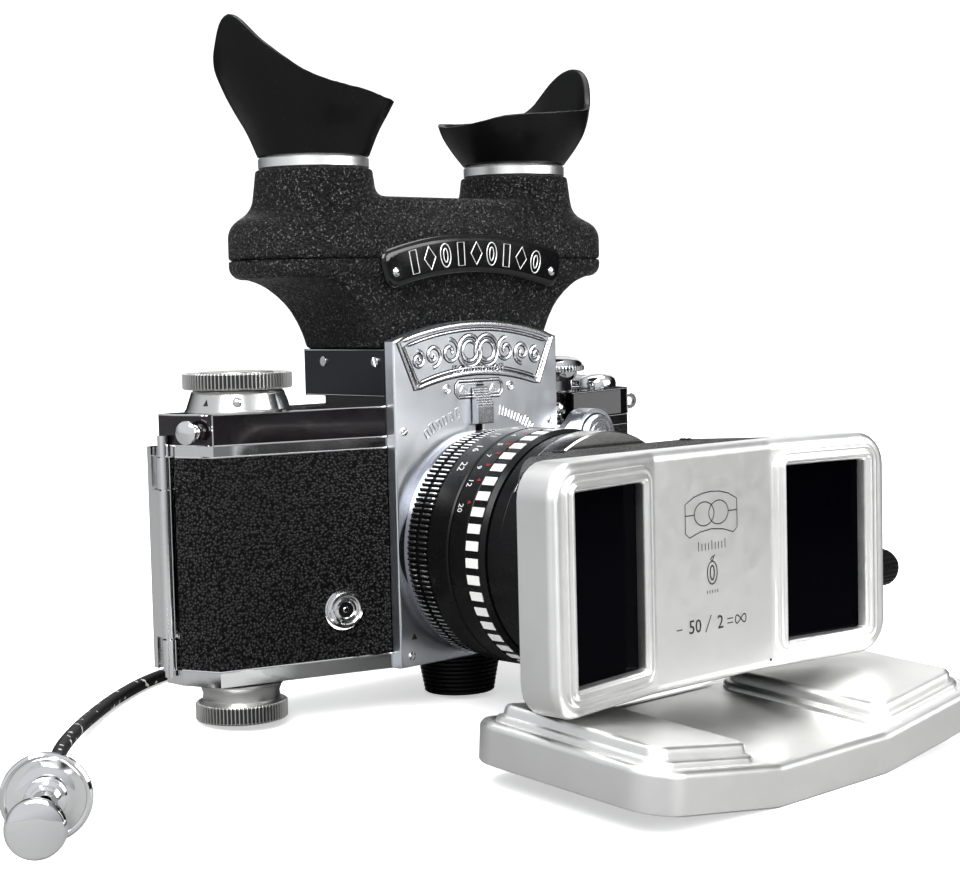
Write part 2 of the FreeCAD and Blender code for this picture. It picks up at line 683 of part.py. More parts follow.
def cover_plateau(inset, lift):
    """Raised step on each slanted end."""
    x0, x1 = COVER_BEND + 2.2 + inset, COVER_W / 2 - 3.6 - inset
    slope = COVER_DROP / (COVER_W / 2 - COVER_BEND)
    z0 = COVER_SKIRT + slope * (x0 - COVER_BEND)
    z1 = COVER_SKIRT + slope * (x1 - COVER_BEND)
    deep = COVER_H / 2 - 3.6 - inset
    points = [(x0, z0 - 2.5), (x1, z1 - 2.5), (x1, z1 + lift), (x0, z0 + lift)]
    step = slab_y(points, -deep, deep)
    return step


def front_cover():
    half_x, half_y = COVER_W / 2, COVER_H / 2
    solid = slab_y(cover_profile(0, COVER_SKIRT, half_x), -half_y, half_y)
    solid = solid.common(round_block(half_x, half_y, CORNER + 1, -5, 40))
    step = cover_plateau(0, COVER_STEP)
    solid = joined(solid, step, mirrored(step))
    inner = slab_y(cover_profile(-3, COVER_SKIRT - COVER_WALL, half_x - COVER_WALL),
                   COVER_WALL - half_y, half_y - COVER_WALL)
    inner = inner.common(round_block(half_x - COVER_WALL, half_y - COVER_WALL, CORNER, -5, 40))
    room = cover_plateau(COVER_WALL, COVER_STEP - COVER_WALL)
    solid = solid.cut(inner).cut(room).cut(mirrored(room))
    solid.rotate(Vector(0, 0, 0), Vector(0, 0, 1), COVER_YAW)
    solid.translate(Vector(COVER_AT[0], COVER_AT[1], 0))
    return solid


# ---------------------------------------------------------------- cable release
def route_path(points):
    """Straight runs joined by tangent arcs, each as large as its two runs allow."""
    spots = [Vector(*p) for p in points]
    edges, radii, last = [], [], spots[0]
    for before, spot, after in zip(spots, spots[1:], spots[2:]):
        back, ahead = before - spot, after - spot
        turn = math.pi - back.getAngle(ahead)
        cut = ARC_SHARE * min(back.Length, ahead.Length)
        radius = cut / math.tan(turn / 2)
        start = spot + back.normalize() * cut
        end = spot + ahead.normalize() * cut
        bisector = (back + ahead).normalize()
        middle = spot + bisector * (radius / math.cos(turn / 2) - radius)
        edges.append(Part.LineSegment(last, start).toShape())
        edges.append(Part.Arc(start, middle, end).toShape())
        radii.append(round(radius, 1))
        last = end
    edges.append(Part.LineSegment(last, spots[-1]).toShape())
    return Part.Wire(edges), radii


def release_cable():
    path, radii = route_path(ROUTE)
    print("cable arc radii, mm:", radii)
    print("cable length, mm:", round(path.Length, 1))
    start, ahead = Vector(*ROUTE[0]), Vector(*ROUTE[1]) - Vector(*ROUTE[0])
    circle = Part.Wire(Part.makeCircle(CABLE_R, start, ahead))
    tube = path.makePipeShell([circle], True, False, 2)
    print("volume over section times length:",
          round(tube.Volume / (math.pi * CABLE_R ** 2 * path.Length), 4))
    return tube


def along(start, towards, pieces):
    """Turned pieces on one line: (from, to, radius) along the direction given."""
    out = (towards - start).normalize()
    rods = [Part.makeCylinder(r, b - a, start + out * a, out) for a, b, r in pieces]
    return joined(*rods)


def cable_end():
    """Where the cable stops at the grip, and the direction it points."""
    end, before = Vector(*ROUTE[-1]), Vector(*ROUTE[-2])
    return end, end + (end - before).normalize() * 10


def cable_flange():
    start, towards = cable_end()
    flange = along(start, towards, [(0, 8.0, 2.6), (8.0, 9.6, 9.0), (9.6, 13.0, 4.2)])
    out = (towards - start).normalize()
    return flange.cut(Part.makeCylinder(1.4, 12.0, start + out * 2.0, out))


def cable_plunger():
    start, towards = cable_end()
    return along(start, towards, [(10.5, 31.0, 1.1), (31.0, 34.6, 5.8)])


def cable_ferrule():
    """Screwed into the socket on the right front panel; the cable leaves its end."""
    start = to_table(Vector(*flash_place(1)) - panel_normal(1) * 2.0)
    end = Vector(*ROUTE[0])
    reach = (end - start).Length - CABLE_GAP
    return along(start, end, [(0, 3.2, 1.4), (3.2, 7.0, 3.0), (7.0, reach, 2.2)])


# ---------------------------------------------------------------- assembly
def to_table(point):
    return Rotation(Vector(1, 0, 0), -LEAN).multVec(point) + STAND


def stood(shape):
    """A camera piece moved from the camera's frame to the table frame."""
    placed = shape.copy()
    placed.rotate(Vector(0, 0, 0), Vector(1, 0, 0), -LEAN)
    placed.translate(STAND)
    return placed


def camera_nodes():
    nodes = {
        "body_casting": body_casting(), "front_plate": front_plate(),
        "finder_well": finder_well(), "top_cover_left": top_cover(-1),
        "top_cover_right": top_cover(1), "base_plate": base_plate(),
        "leather_left": leather(-1), "leather_right": leather(1),
        "strap_lugs": strap_lugs(), "flash_socket": round_socket(-1, 1.9),
        "cable_socket": round_socket(1, 1.5), "back_door": back_door(),
        "back_leather": back_leather(), "pressure_plate": pressure_plate(),
        "hinge_pin": hinge_pin(), "door_catch": door_catch(),
        "slow_dial_base": slow_dial_base(), "slow_dial": slow_dial(),
        "speed_dial": speed_dial(), "wind_lever": wind_lever(),
        "shutter_release": shutter_release(), "finder_catch": finder_catch(),
        "rewind_knob": rewind_knob(), "support_foot": support_foot(),
        "reflex_mirror": reflex_mirror(), "focusing_screen": focusing_screen(),
        "lens_flange": lens_flange(), "lens_core": lens_core(),
        "aperture_ring": aperture_ring(), "focus_ring": focus_ring(),
        "front_barrel": front_barrel(), "front_lens": lens_disc(15.9, -30.0, -24.0),
        "rear_lens": lens_disc(14.9, -6.5, -3.2), "release_arm": release_arm(),
        "arm_button": arm_button(), "mount_collar": mount_collar(),
        "prism_housing": prism_housing(), "front_mask": front_mask(),
        "window_glass": window_glass(), "clamp_knob": clamp_knob(),
        "viewer_foot": viewer_foot(), "foot_screws": foot_screws(),
        "viewer_lower_shell": viewer_lower_shell(),
        "viewer_upper_shell": viewer_upper_shell(), "badge_plate": badge_plate(),
        "eye_lenses": eye_lenses()}
    for name, sign in (("left", -1), ("right", 1)):
        nodes["stereo_prism_" + name] = stereo_prism(sign)
        nodes["finder_prism_" + name] = finder_prism(sign)
        nodes["eyepiece_ring_" + name] = eyepiece_ring(sign)
        nodes["eyecup_" + name] = eyecup(sign)
    return nodes


def table_nodes():
    return {"front_cover": front_cover(), "release_cable": release_cable(),
            "cable_ferrule": cable_ferrule(), "cable_flange": cable_flange(),
            "cable_plunger": cable_plunger()}


def main():
    os.makedirs("parts", exist_ok=True)
    nodes = {name: stood(shape) for name, shape in camera_nodes().items()}
    nodes.update(table_nodes())
    for name, shape in nodes.items():
        shape.exportStep("parts/" + name + ".step")
    print(len(nodes), "nodes written")


main()
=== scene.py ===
import bmesh
import bpy
import json
import math
import numpy as np
from mathutils import Matrix, Vector


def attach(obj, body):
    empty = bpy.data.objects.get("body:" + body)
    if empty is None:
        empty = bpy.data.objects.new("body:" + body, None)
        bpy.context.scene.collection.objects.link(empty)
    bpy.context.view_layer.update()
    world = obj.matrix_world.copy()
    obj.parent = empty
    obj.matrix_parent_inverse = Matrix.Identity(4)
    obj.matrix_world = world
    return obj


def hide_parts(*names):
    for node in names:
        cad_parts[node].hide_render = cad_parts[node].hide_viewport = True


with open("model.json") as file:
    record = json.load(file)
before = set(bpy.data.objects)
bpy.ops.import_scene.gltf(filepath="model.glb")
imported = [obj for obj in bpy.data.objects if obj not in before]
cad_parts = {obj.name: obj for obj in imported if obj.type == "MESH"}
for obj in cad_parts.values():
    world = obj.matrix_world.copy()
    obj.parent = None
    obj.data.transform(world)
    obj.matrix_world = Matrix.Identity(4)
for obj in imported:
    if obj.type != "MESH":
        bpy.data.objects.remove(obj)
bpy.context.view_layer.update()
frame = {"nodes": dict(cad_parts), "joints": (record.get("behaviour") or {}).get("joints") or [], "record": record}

# ---------------------------------------------------------------- frames of reference
# Camera pieces are drawn in millimetres in the camera's own upright frame: the lens axis is Y,
# the front plate is y = 0, +X is to the right seen from the front. BODY stands them on the table.
MM = Matrix.Scale(0.001, 4)
lens_turn = next(j for j in frame["joints"] if j["name"] == "aperture_turn")
AHEAD = Vector(lens_turn["axis"])
RIGHT = Vector((1, 0, 0))
BODY = Matrix((RIGHT, -AHEAD, AHEAD.cross(RIGHT))).transposed().to_4x4()
BODY.translation = Vector(lens_turn["pos_m"])
BODY = BODY @ MM


def facing(at, out, up=(0, 0, 1)):
    """Lays local X across, Y up and Z out of a face at a point."""
    out = Vector(out).normalized()
    across = Vector(up).cross(out).normalized()
    matrix = Matrix((across, out.cross(across), out)).transposed().to_4x4()
    matrix.translation = Vector(at)
    return matrix


FRONT = facing((0, 0, 0), (0, -1, 0))      # local height is distance ahead of the front plate

# ---------------------------------------------------------------- camera
# Where the eye stands and how it looks, in millimetres in the camera piece's own frame.
eye = Vector((-341.6, -367.2, 60.1))
ahead = Vector((0.7054, 0.7054, -0.0694)).normalized()
flat_right = Vector((1, -1, 0)).normalized()
flat_up = flat_right.cross(ahead)
roll = math.radians(1.23)
right = flat_right * math.cos(roll) - flat_up * math.sin(roll)
aim = Matrix((right, right.cross(ahead), -ahead)).transposed().to_4x4()
aim.translation = eye
camera_data = bpy.data.cameras.new("camera")
camera_data.lens = 74.29
camera_data.shift_x = -0.0744
camera_data.shift_y = -0.0017
camera = bpy.data.objects.new("camera", camera_data)
bpy.context.scene.collection.objects.link(camera)
stood = BODY @ aim
camera.matrix_world = Matrix.LocRotScale(stood.to_translation(), stood.to_quaternion(), None)
bpy.context.scene.camera = camera


# ---------------------------------------------------------------- materials
class Look:
    """A node material built around one principled shader."""

    def __init__(self, name, colour, rough, metal=0.0, **sockets):
        self.material = bpy.data.materials.new(name)
        self.material.use_nodes = True
        self.tree = self.material.node_tree
        self.shader = self.tree.nodes["Principled BSDF"]
        self.place = self.add("ShaderNodeTexCoord").outputs["Object"]
        self.set(self.shader, Base_Color=(*colour, 1), Roughness=rough, Metallic=metal, **sockets)

    def set(self, node, **inputs):
        for name, value in inputs.items():
            socket = node.inputs[name.replace("_", " ")]
            if isinstance(value, bpy.types.NodeSocket):
                self.tree.links.new(value, socket)
            else:
                socket.default_value = value
        return node

    def add(self, kind, settings=(), **inputs):
        node = self.tree.nodes.new(kind)
        for name, value in dict(settings).items():
            setattr(node, name, value)
        return self.set(node, **inputs)

    def noise(self, scale, detail=3.0, rough=0.55, stretch=None):
        place = self.place
        if stretch:
            place = self.add("ShaderNodeMapping", Vector=place, Scale=stretch).outputs[0]
        return self.add("ShaderNodeTexNoise", Vector=place, Scale=scale, Detail=detail,
                        Roughness=rough).outputs["Fac"]

    def span(self, value, low, high, a, b):
        """Value from low..high carried to a..b."""
        node = self.add("ShaderNodeMapRange", Value=value)
        for socket, number in zip(node.inputs[1:5], (low, high, a, b)):
            socket.default_value = number
        return node.outputs[0]

    def blend(self, share, first, second):
        node = self.add("ShaderNodeMix", {"data_type": "RGBA"})
        self.tree.links.new(share, node.inputs[0])
        for socket, colour in zip((node.inputs[6], node.inputs[7]), (first, second)):
            if isinstance(colour, bpy.types.NodeSocket):
                self.tree.links.new(colour, socket)
            else:
                socket.default_value = (*colour, 1)
        return node.outputs[2]

    def bump(self, height, distance, strength=1.0):
        before = self.shader.inputs["Normal"].links
        node = self.add("ShaderNodeBump", Height=height, Distance=distance, Strength=strength)
        if before:
            self.tree.links.new(before[0].from_socket, node.inputs["Normal"])
        self.set(self.shader, Normal=node.outputs[0])


LOOKS = {}


def satin_metal(name, colour, rough, grain, scale):
    """Metal with a fine blasted grain, faint clouds and small scuffs."""
    look = Look(name, colour, rough, 1.0)
    clouds = look.noise(38, 3)
    dark = tuple(c * 0.95 for c in colour)
    light = tuple(min(1.0, c * 1.03) for c in colour)
    look.set(look.shader, Base_Color=look.blend(look.span(clouds, 0.3, 0.7, 0, 1), dark, light))
    scuffs = look.noise(260, 6, 0.7)
    look.set(look.shader, Roughness=look.span(scuffs, 0.3, 0.7, rough - 0.025, rough + 0.03))
    look.bump(look.noise(scale, 2), grain)
    LOOKS[name] = look.material


def polished(name, colour, rough):
    """Plated metal with finger smears and the odd pit."""
    look = Look(name, colour, rough, 1.0)
    smears = look.noise(70, 5, 0.65)
    look.set(look.shader, Roughness=look.span(smears, 0.42, 0.75, rough, rough + 0.16))
    look.bump(look.noise(180, 2), 0.00002, 0.5)
    LOOKS[name] = look.material


satin_metal("satin_chrome", (0.90, 0.93, 0.97), 0.30, 0.000004, 2600)
satin_metal("bright_satin", (0.78, 0.79, 0.81), 0.26, 0.000004, 2600)
satin_metal("satin_aluminium", (0.90, 0.90, 0.885), 0.38, 0.000006, 3800)
satin_metal("grey_metal", (0.085, 0.09, 0.097), 0.36, 0.000006, 3000)
satin_metal("knurl", (0.66, 0.655, 0.64), 0.3, 0.000004, 3000)
satin_metal("brushed", (0.74, 0.735, 0.72), 0.17, 0.000003, 3000)
satin_metal("dark_plate", (0.30, 0.31, 0.34), 0.2, 0.000003, 3000)
# Bright metal used for the painted highlights on the aperture ring's ribs.
satin_metal("rib_highlight_metal", (0.92, 0.92, 0.90), 0.22, 0.000003, 3000)
polished("chrome", (0.86, 0.86, 0.86), 0.05)
polished("mirror", (0.93, 0.93, 0.93), 0.01)


def dark_finish(name, colour, rough, speck, bump, scale, coat=0.0, shine=0.5):
    """Black paint or anodising: slightly uneven, with fine dust."""
    look = Look(name, colour, rough, 0.0, Coat_Weight=coat, Coat_Roughness=0.06,
                Specular_IOR_Level=shine)
    dust = look.span(look.noise(1500, 2), 0.66, 0.78, 0, 1)
    look.set(look.shader, Base_Color=look.blend(dust, colour, speck))
    wear_and_highlight = look.noise(120, 5, 0.65)
    look.set(look.shader, Roughness=look.span(wear_and_highlight, 0.3, 0.7, rough - 0.06, rough + 0.09))
    look.bump(look.noise(scale, 3), bump)
    LOOKS[name] = look.material


dark_finish("black_metal", (0.006, 0.006, 0.0065), 0.28, (0.02, 0.02, 0.02), 0.000005, 2400,
            shine=0.3)
dark_finish("black_lacquer", (0.006, 0.004, 0.005), 0.12, (0.012, 0.010, 0.011), 0.00006, 160, 0.7)
dark_finish("black_gloss", (0.006, 0.006, 0.0065), 0.16, (0.015, 0.015, 0.015), 0.00001, 300, 0.3)
dark_finish("rubber", (0.005, 0.005, 0.005), 0.34, (0.02, 0.02, 0.018), 0.00002, 700, 0.05,
            shine=0.25)
dark_finish("white_paint", (0.66, 0.66, 0.645), 0.4, (0.6, 0.6, 0.58), 0.000005, 2400)
dark_finish("red_paint", (0.45, 0.03, 0.02), 0.4, (0.3, 0.02, 0.02), 0.000005, 2400)
dark_finish("panel_grey", (0.12, 0.12, 0.12), 0.35, (0.16, 0.16, 0.16), 0.00001, 300)
# Dark ink for engraved marks and print; also used as painted shade beside the front plate's raised lines and in
# the dial grips' valleys.
dark_finish("engraving_and_painted_shade", (0.015, 0.015, 0.016), 0.5, (0.05, 0.05, 0.05), 0.000005, 2400)
dark_finish("dark_glass", (0.001, 0.001, 0.002), 0.08, (0.002, 0.002, 0.004), 0.0000005, 300,
            shine=0.03)


def leather():
    """Black pebbled leathercloth: rounded grains between fine valleys, polished on the tops, where a painted sheen
    colours the grains lighter than the valleys.
    """
    look = Look("leather", (0.006, 0.006, 0.006), 0.4, Specular_IOR_Level=0.5)
    grain = look.add("ShaderNodeTexVoronoi", {"feature": "F1"}, Scale=1400, Randomness=0.85,
                     Vector=look.place)
    top = look.span(grain.outputs["Distance"], 0.12, 0.62, 1, 0)
    crest_sheen = look.span(grain.outputs["Distance"], 0.1, 0.7, 1, 0)
    # Painted sheen: grain crests coloured lighter and valleys darker, standing in for the light the grains catch.
    look.set(look.shader, Base_Color=look.blend(crest_sheen, (0.002, 0.002, 0.002), (0.024, 0.022, 0.024)))
    look.set(look.shader, Roughness=look.span(top, 0.3, 1.0, 0.75, 0.22))
    look.set(look.shader, Specular_IOR_Level=look.span(crest_sheen, 0.0, 1.0, 0.15, 1.0))
    look.bump(top, 0.0009, 1.0)
    LOOKS["leather"] = look.material


def wrinkle_paint():
    """Black crackle paint; bright specks painted into its colour stand in for pin-point glints of light on its
    ridges.
    """
    look = Look("wrinkle_paint", (0.008, 0.008, 0.008), 0.42, Specular_IOR_Level=0.5)
    folds = look.noise(1250, 3, 0.6)
    ridge = look.span(folds, 0.36, 0.66, 0, 1)
    look.set(look.shader, Roughness=look.span(folds, 0.35, 0.65, 0.65, 0.22))
    # Painted glints: bright specks in the colour stand in for light caught on the crackle.
    painted_glint = look.span(look.noise(1700, 3, 0.65), 0.58, 0.64, 0, 1)
    look.set(look.shader, Base_Color=look.blend(painted_glint, (0.004, 0.004, 0.004), (0.19, 0.19, 0.18)))
    look.bump(ridge, 0.0010, 1.0)
    LOOKS["wrinkle_paint"] = look.material


def glass():
    """Dark coated glass with a faint haze."""
    look = Look("glass", (0.03, 0.035, 0.045), 0.02, Coat_Weight=1.0, Coat_Roughness=0.0,
                Coat_Tint=(0.72, 0.78, 1.0, 1))
    look.set(look.shader, Roughness=look.span(look.noise(90, 3), 0.5, 0.8, 0.015, 0.06))
    LOOKS["glass"] = look.material


def braid():
    """Black woven sleeve with a few pale threads."""
    look = Look("braid", (0.006, 0.006, 0.006), 0.5, Specular_IOR_Level=0.3)
    flecks = look.span(look.noise(520, 1, 0.3), 0.68, 0.70, 0, 1)
    look.set(look.shader, Base_Color=look.blend(flecks, (0.006, 0.006, 0.006), (0.55, 0.55, 0.52)))
    look.bump(look.noise(2600, 2), 0.0001, 0.6)
    LOOKS["braid"] = look.material


leather()
wrinkle_paint()
glass()
braid()


# ---------------------------------------------------------------- mesh tools
# A part is (points, faces). Flat outlines are lists of (x, y) going round anticlockwise.
def merged(*parts):
    points, faces = [], []
    for some, these in parts:
        base = len(points)
        points += list(some)
        faces += [tuple(i + base for i in face) for face in these]
    return points, faces


def placed(part, matrix):
    return [matrix @ Vector(p) for p in part[0]], part[1]


def moved(part, x=0.0, y=0.0, z=0.0):
    return placed(part, Matrix.Translation((x, y, z)))


def loft(rings, caps=True, closed=True, loop=False):
    """Quads between rings of points, each ring closed, its ends capped."""
    n = len(rings[0])
    points = [p for ring in rings for p in ring]
    faces = []
    for i in range(len(rings) if loop else len(rings) - 1):
        a, b = i * n, (i + 1) % len(rings) * n
        for j in range(n if closed else n - 1):
            k = (j + 1) % n
            faces.append((a + j, a + k, b + k, b + j))
    if caps and not loop:
        faces += [tuple(range(n))[::-1], tuple(range(len(points) - n, len(points)))]
    return points, faces


def lathe(profile, steps=96, pattern=(0.0,), loop=False):
    """Turned about Z from (radius, height) points. A third value scales a change of radius
    that repeats round the piece as the pattern says. Loop joins the profile's ends."""
    rings = []
    for spot in profile:
        share = spot[2] if len(spot) > 2 else 0.0
        ring = []
        for i in range(steps):
            angle = 2 * math.pi * i / steps
            radius = max(0.0, spot[0] + share * pattern[i % len(pattern)])
            ring.append((radius * math.cos(angle), radius * math.sin(angle), spot[1]))
        rings.append(ring)
    return loft(rings, caps=not loop, loop=loop)


def oblong(half_x, half_y, radius, at=(0.0, 0.0), steps=6):
    """Rounded rectangle."""
    radius = max(radius, 0.01)
    points = []
    for quarter, (sx, sy) in enumerate(((1, 1), (-1, 1), (-1, -1), (1, -1))):
        for i in range(steps + 1):
            angle = math.pi / 2 * (quarter + i / steps)
            points.append((at[0] + sx * (half_x - radius) + radius * math.cos(angle),
                           at[1] + sy * (half_y - radius) + radius * math.sin(angle)))
    return points


def oval(half_x, half_y, x=0.0, y=0.0, steps=32):
    return [(x + half_x * math.cos(2 * math.pi * i / steps),
             y + half_y * math.sin(2 * math.pi * i / steps)) for i in range(steps)]


def circle(radius, x=0.0, y=0.0, steps=32):
    return oval(radius, radius, x, y, steps)


def inset(outline, by):
    """The outline with every side moved in."""
    moved_in = []
    for i, spot in enumerate(outline):
        p, a, b = Vector(spot), Vector(outline[i - 1]), Vector(outline[(i + 1) % len(outline)])
        u, v = (p - a).normalized(), (b - p).normalized()
        lean = Vector((-u.y - v.y, u.x + v.x)) / max(0.35, 1 + u.dot(v))
        moved_in.append(tuple(p + lean * by))
    return moved_in


def lifted(outline, height):
    return [(x, y, height) for x, y in outline]


def eased(low, high, top=0.4, bottom=0.0, steps=3):
    """(inset, height) steps up a wall with rounded edges."""
    layers = []
    for i in range(steps + 1 if bottom else 1):
        angle = math.pi / 2 * i / steps
        layers.append((bottom * (1 - math.sin(angle)), low + bottom * (1 - math.cos(angle))))
    for i in range(steps + 1):
        angle = math.pi / 2 * i / steps
        layers.append((top * (1 - math.cos(angle)), high - top * (1 - math.sin(angle))))
    return layers


def prism(outline, low, high, top=0.4, bottom=0.0):
    """Upright block on an outline, its edges rounded."""
    return loft([lifted(inset(outline, d), h) for d, h in eased(low, high, top, bottom)])


def box(x0, x1, y0, y1, z0, z1, edge=0.3):
    outline = oblong((x1 - x0) / 2, (y1 - y0) / 2, edge, ((x0 + x1) / 2, (y0 + y1) / 2), 3)
    return prism(outline, z0, z1, edge, edge)


class Solid:
    """Mesh made wall by wall, for pieces with holes."""

    def __init__(self):
        self.bm = bmesh.new()

    def rings(self, rows):
        """Joined rings of points; gives back the first and last ring of vertices."""
        made = [[self.bm.verts.new(p) for p in row] for row in rows]
        for a, b in zip(made, made[1:]):
            for i in range(len(a)):
                self.bm.faces.new((a[i - 1], a[i], b[i], b[i - 1]))
        return made[0], made[-1]

    def fill(self, *loops):
        """Flat face between an outline and the holes in it."""
        edges = []
        for ring in loops:
            for i, vert in enumerate(ring):
                edge = self.bm.edges.get((ring[i - 1], vert))
                edges.append(edge or self.bm.edges.new((ring[i - 1], vert)))
        bmesh.ops.triangle_fill(self.bm, use_beauty=True, edges=edges)

    def split(self, *places):
        """New edges where the mesh crosses the planes x = place."""
        for x in places:
            everything = self.bm.verts[:] + self.bm.edges[:] + self.bm.faces[:]
            bmesh.ops.bisect_plane(self.bm, geom=everything, plane_co=(x, 0, 0),
                                   plane_no=(1, 0, 0), dist=1e-5)

    def part(self, bend=None):
        self.bm.verts.index_update()
        points = [bend(*v.co) if bend else tuple(v.co) for v in self.bm.verts]
        faces = [tuple(v.index for v in f.verts) for f in self.bm.faces]
        self.bm.free()
        return points, faces


def pierced(outline, holes, low, high, edge=0.4):
    """Flat plate with holes, every edge rounded on its upper side."""
    solid = Solid()
    ends = [solid.rings([lifted(inset(ring, sign * d), h)
                         for d, h in eased(low, high, edge)])
            for sign, ring in [(1, outline)] + [(-1, hole) for hole in holes]]
    solid.fill(*[first for first, last in ends])
    solid.fill(*[last for first, last in ends])
    return solid.part()


def tube(path, radius, sides=8, loop=False, flat=1.0):
    """Round bar along points; flat scales its height out of the surface, local Z."""
    spots = [Vector(p) for p in path]
    rings = []
    for i, spot in enumerate(spots):
        before = spots[i - 1] if i or loop else spot
        after = spots[(i + 1) % len(spots)] if i + 1 < len(spots) or loop else spot
        along = (after - before).normalized()
        side = along.cross(Vector((0, 0, 1)))
        side = side.normalized() if side.length > 1e-4 else Vector((1, 0, 0))
        up = side.cross(along)
        rings.append([spot + side * (radius * math.cos(2 * math.pi * k / sides))
                      + up * (radius * flat * math.sin(2 * math.pi * k / sides))
                      for k in range(sides)])
    return loft(rings, caps=not loop, loop=loop)


def screw(radius, height=0.5, turn=0.4, slot=0.22):
    """Slotted screw head on z = 0."""
    base = lathe([(radius, 0), (radius, height * 0.45), (0, height * 0.45)], 32)
    half = []
    start = math.asin(slot / radius)
    for i in range(13):
        angle = start + (math.pi - 2 * start) * i / 12
        half.append((radius * math.cos(angle), radius * math.sin(angle)))
    lip = prism(half, height * 0.3, height, 0.12 * radius)
    both = merged(lip, placed(lip, Matrix.Rotation(math.pi, 4, "Z")))
    return placed(merged(base, both), Matrix.Rotation(turn, 4, "Z"))


def numerals(text, size, thick=0.08):
    """Generic numbers as thin raised letters lying on z = 0, centred."""
    curve = bpy.data.curves.new("numerals", "FONT")
    curve.body, curve.size = text, size
    curve.align_x, curve.align_y = "CENTER", "CENTER"
    curve.extrude, curve.resolution_u = thick / 2, 2
    holder = bpy.data.objects.new("numerals", curve)
    mesh = bpy.data.meshes.new_from_object(holder)
    points = [(v.co.x, v.co.y, v.co.z + thick / 2) for v in mesh.vertices]
    faces = [tuple(p.vertices) for p in mesh.polygons]
    bpy.data.objects.remove(holder)
    bpy.data.curves.remove(curve)
    bpy.data.meshes.remove(mesh)
    return points, faces


def on_barrel(part, radius, ahead_by, angle):
    """Bends a flat part round the lens: its X runs round the barrel, its Y towards the front."""
    points = []
    for x, y, z in part[0]:
        turn = angle + x / radius
        out = radius + z
        points.append((-out * math.sin(turn), -(ahead_by + y), out * math.cos(turn)))
    return points, part[1]


def piece(name, part, body, look, stands_for=(), stand=BODY, sharp=35):
    """A mesh in millimetres made into a shown piece on a body."""
    bm = bmesh.new()
    verts = [bm.verts.new(p) for p in part[0]]
    for face in part[1]:
        try:
            bm.faces.new([verts[i] for i in face])
        except ValueError:
            continue
    bmesh.ops.remove_doubles(bm, verts=bm.verts, dist=1e-4)
    bmesh.ops.dissolve_degenerate(bm, edges=bm.edges, dist=1e-5)
    bmesh.ops.recalc_face_normals(bm, faces=bm.faces)
    bm.transform(stand)
    mesh = bpy.data.meshes.new(name)
    bm.to_mesh(mesh)
    bm.free()
    mesh.shade_smooth()
    mesh.set_sharp_from_angle(angle=math.radians(sharp))
    mesh.materials.append(LOOKS[look])
    made = bpy.data.objects.new(name, mesh)
    bpy.context.scene.collection.objects.link(made)
    weigh = made.modifiers.new("normals", "WEIGHTED_NORMAL")
    weigh.keep_sharp = True
    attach(made, body)
    if stands_for:
        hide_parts(*stands_for)
    return made


# ---------------------------------------------------------------- cable release
# The cable's route, the same points as in the CAD source, in millimetres on the table.
ROUTE = [
    (54.1, 23.3, 33.3), (58.6, 9.0, 33.0), (72.0, -2.0, 28.5), (89.0, 0.0, 20.0),
    (100.5, 14.5, 11.0), (103.5, 33.0, 4.4), (100.0, 52.0, 1.6), (90.0, 69.0, 1.6),
    (74.0, 81.0, 1.6), (53.0, 88.0, 1.6), (30.0, 91.0, 1.6), (6.0, 92.0, 1.6),
    (-16.0, 95.5, 1.6), (-38.0, 96.5, 1.6), (-58.0, 90.5, 1.6), (-76.0, 79.0, 1.7),
    (-92.0, 65.0, 2.4), (-106.5, 49.5, 4.2), (-120.0, 33.2, 6.0), (-130.0, 17.5, 7.8),
    (-138.8, 5.1, 8.8)]
CABLE_R = 1.6


def cable():
    """The braided cable as a round curve along its route."""
    curve = bpy.data.curves.new("cable", "CURVE")
    curve.dimensions = "3D"
    spline = curve.splines.new("NURBS")
    spline.points.add(len(ROUTE) - 1)
    for point, spot in zip(spline.points, ROUTE):
        point.co = (*(c / 1000 for c in spot), 1.0)
    spline.order_u = 3
    spline.use_endpoint_u = True
    spline.resolution_u = 12
    curve.bevel_depth = CABLE_R / 1000
    curve.bevel_resolution = 6
    curve.use_fill_caps = True
    curve.materials.append(LOOKS["braid"])
    made = bpy.data.objects.new("cable", curve)
    bpy.context.scene.collection.objects.link(made)
    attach(made, "camera")
    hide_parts("release_cable")
    return made


cable_piece = cable()


# ---------------------------------------------------------------- floor and light
def floor():
    """Pale floor, white to the eye, that fades out beyond the shadows."""
    bm = bmesh.new()
    bmesh.ops.create_grid(bm, x_segments=1, y_segments=1, size=4.0)
    mesh = bpy.data.meshes.new("floor")
    bm.to_mesh(mesh)
    bm.free()
    made = bpy.data.objects.new("floor", mesh)
    bpy.context.scene.collection.objects.link(made)
    look = Look("floor", (0.93, 0.93, 0.93), 0.6, Emission_Color=(1, 1, 1, 1))
    path = look.add("ShaderNodeLightPath")
    seen = look.add("ShaderNodeMath", {"operation": "MULTIPLY"})
    look.tree.links.new(path.outputs["Is Camera Ray"], seen.inputs[0])
    seen.inputs[1].default_value = 0.45
    look.tree.links.new(seen.outputs[0], look.shader.inputs["Emission Strength"])
    look.set(look.shader, Base_Color=look.blend(path.outputs["Is Glossy Ray"], (0.93, 0.93, 0.93),
                                                (0.22, 0.22, 0.22)))
    far = look.add("ShaderNodeVectorMath", {"operation": "LENGTH"}).outputs["Value"]
    look.tree.links.new(look.place, look.tree.nodes[-1].inputs[0])
    clear = look.add("ShaderNodeBsdfTransparent")
    mix = look.add("ShaderNodeMixShader")
    look.tree.links.new(look.span(far, 0.45, 1.3, 0, 1), mix.inputs[0])
    look.tree.links.new(look.shader.outputs[0], mix.inputs[1])
    look.tree.links.new(clear.outputs[0], mix.inputs[2])
    output = next(n for n in look.tree.nodes if n.type == "OUTPUT_MATERIAL")
    look.tree.links.new(mix.outputs[0], output.inputs[0])
    mesh.materials.append(look.material)


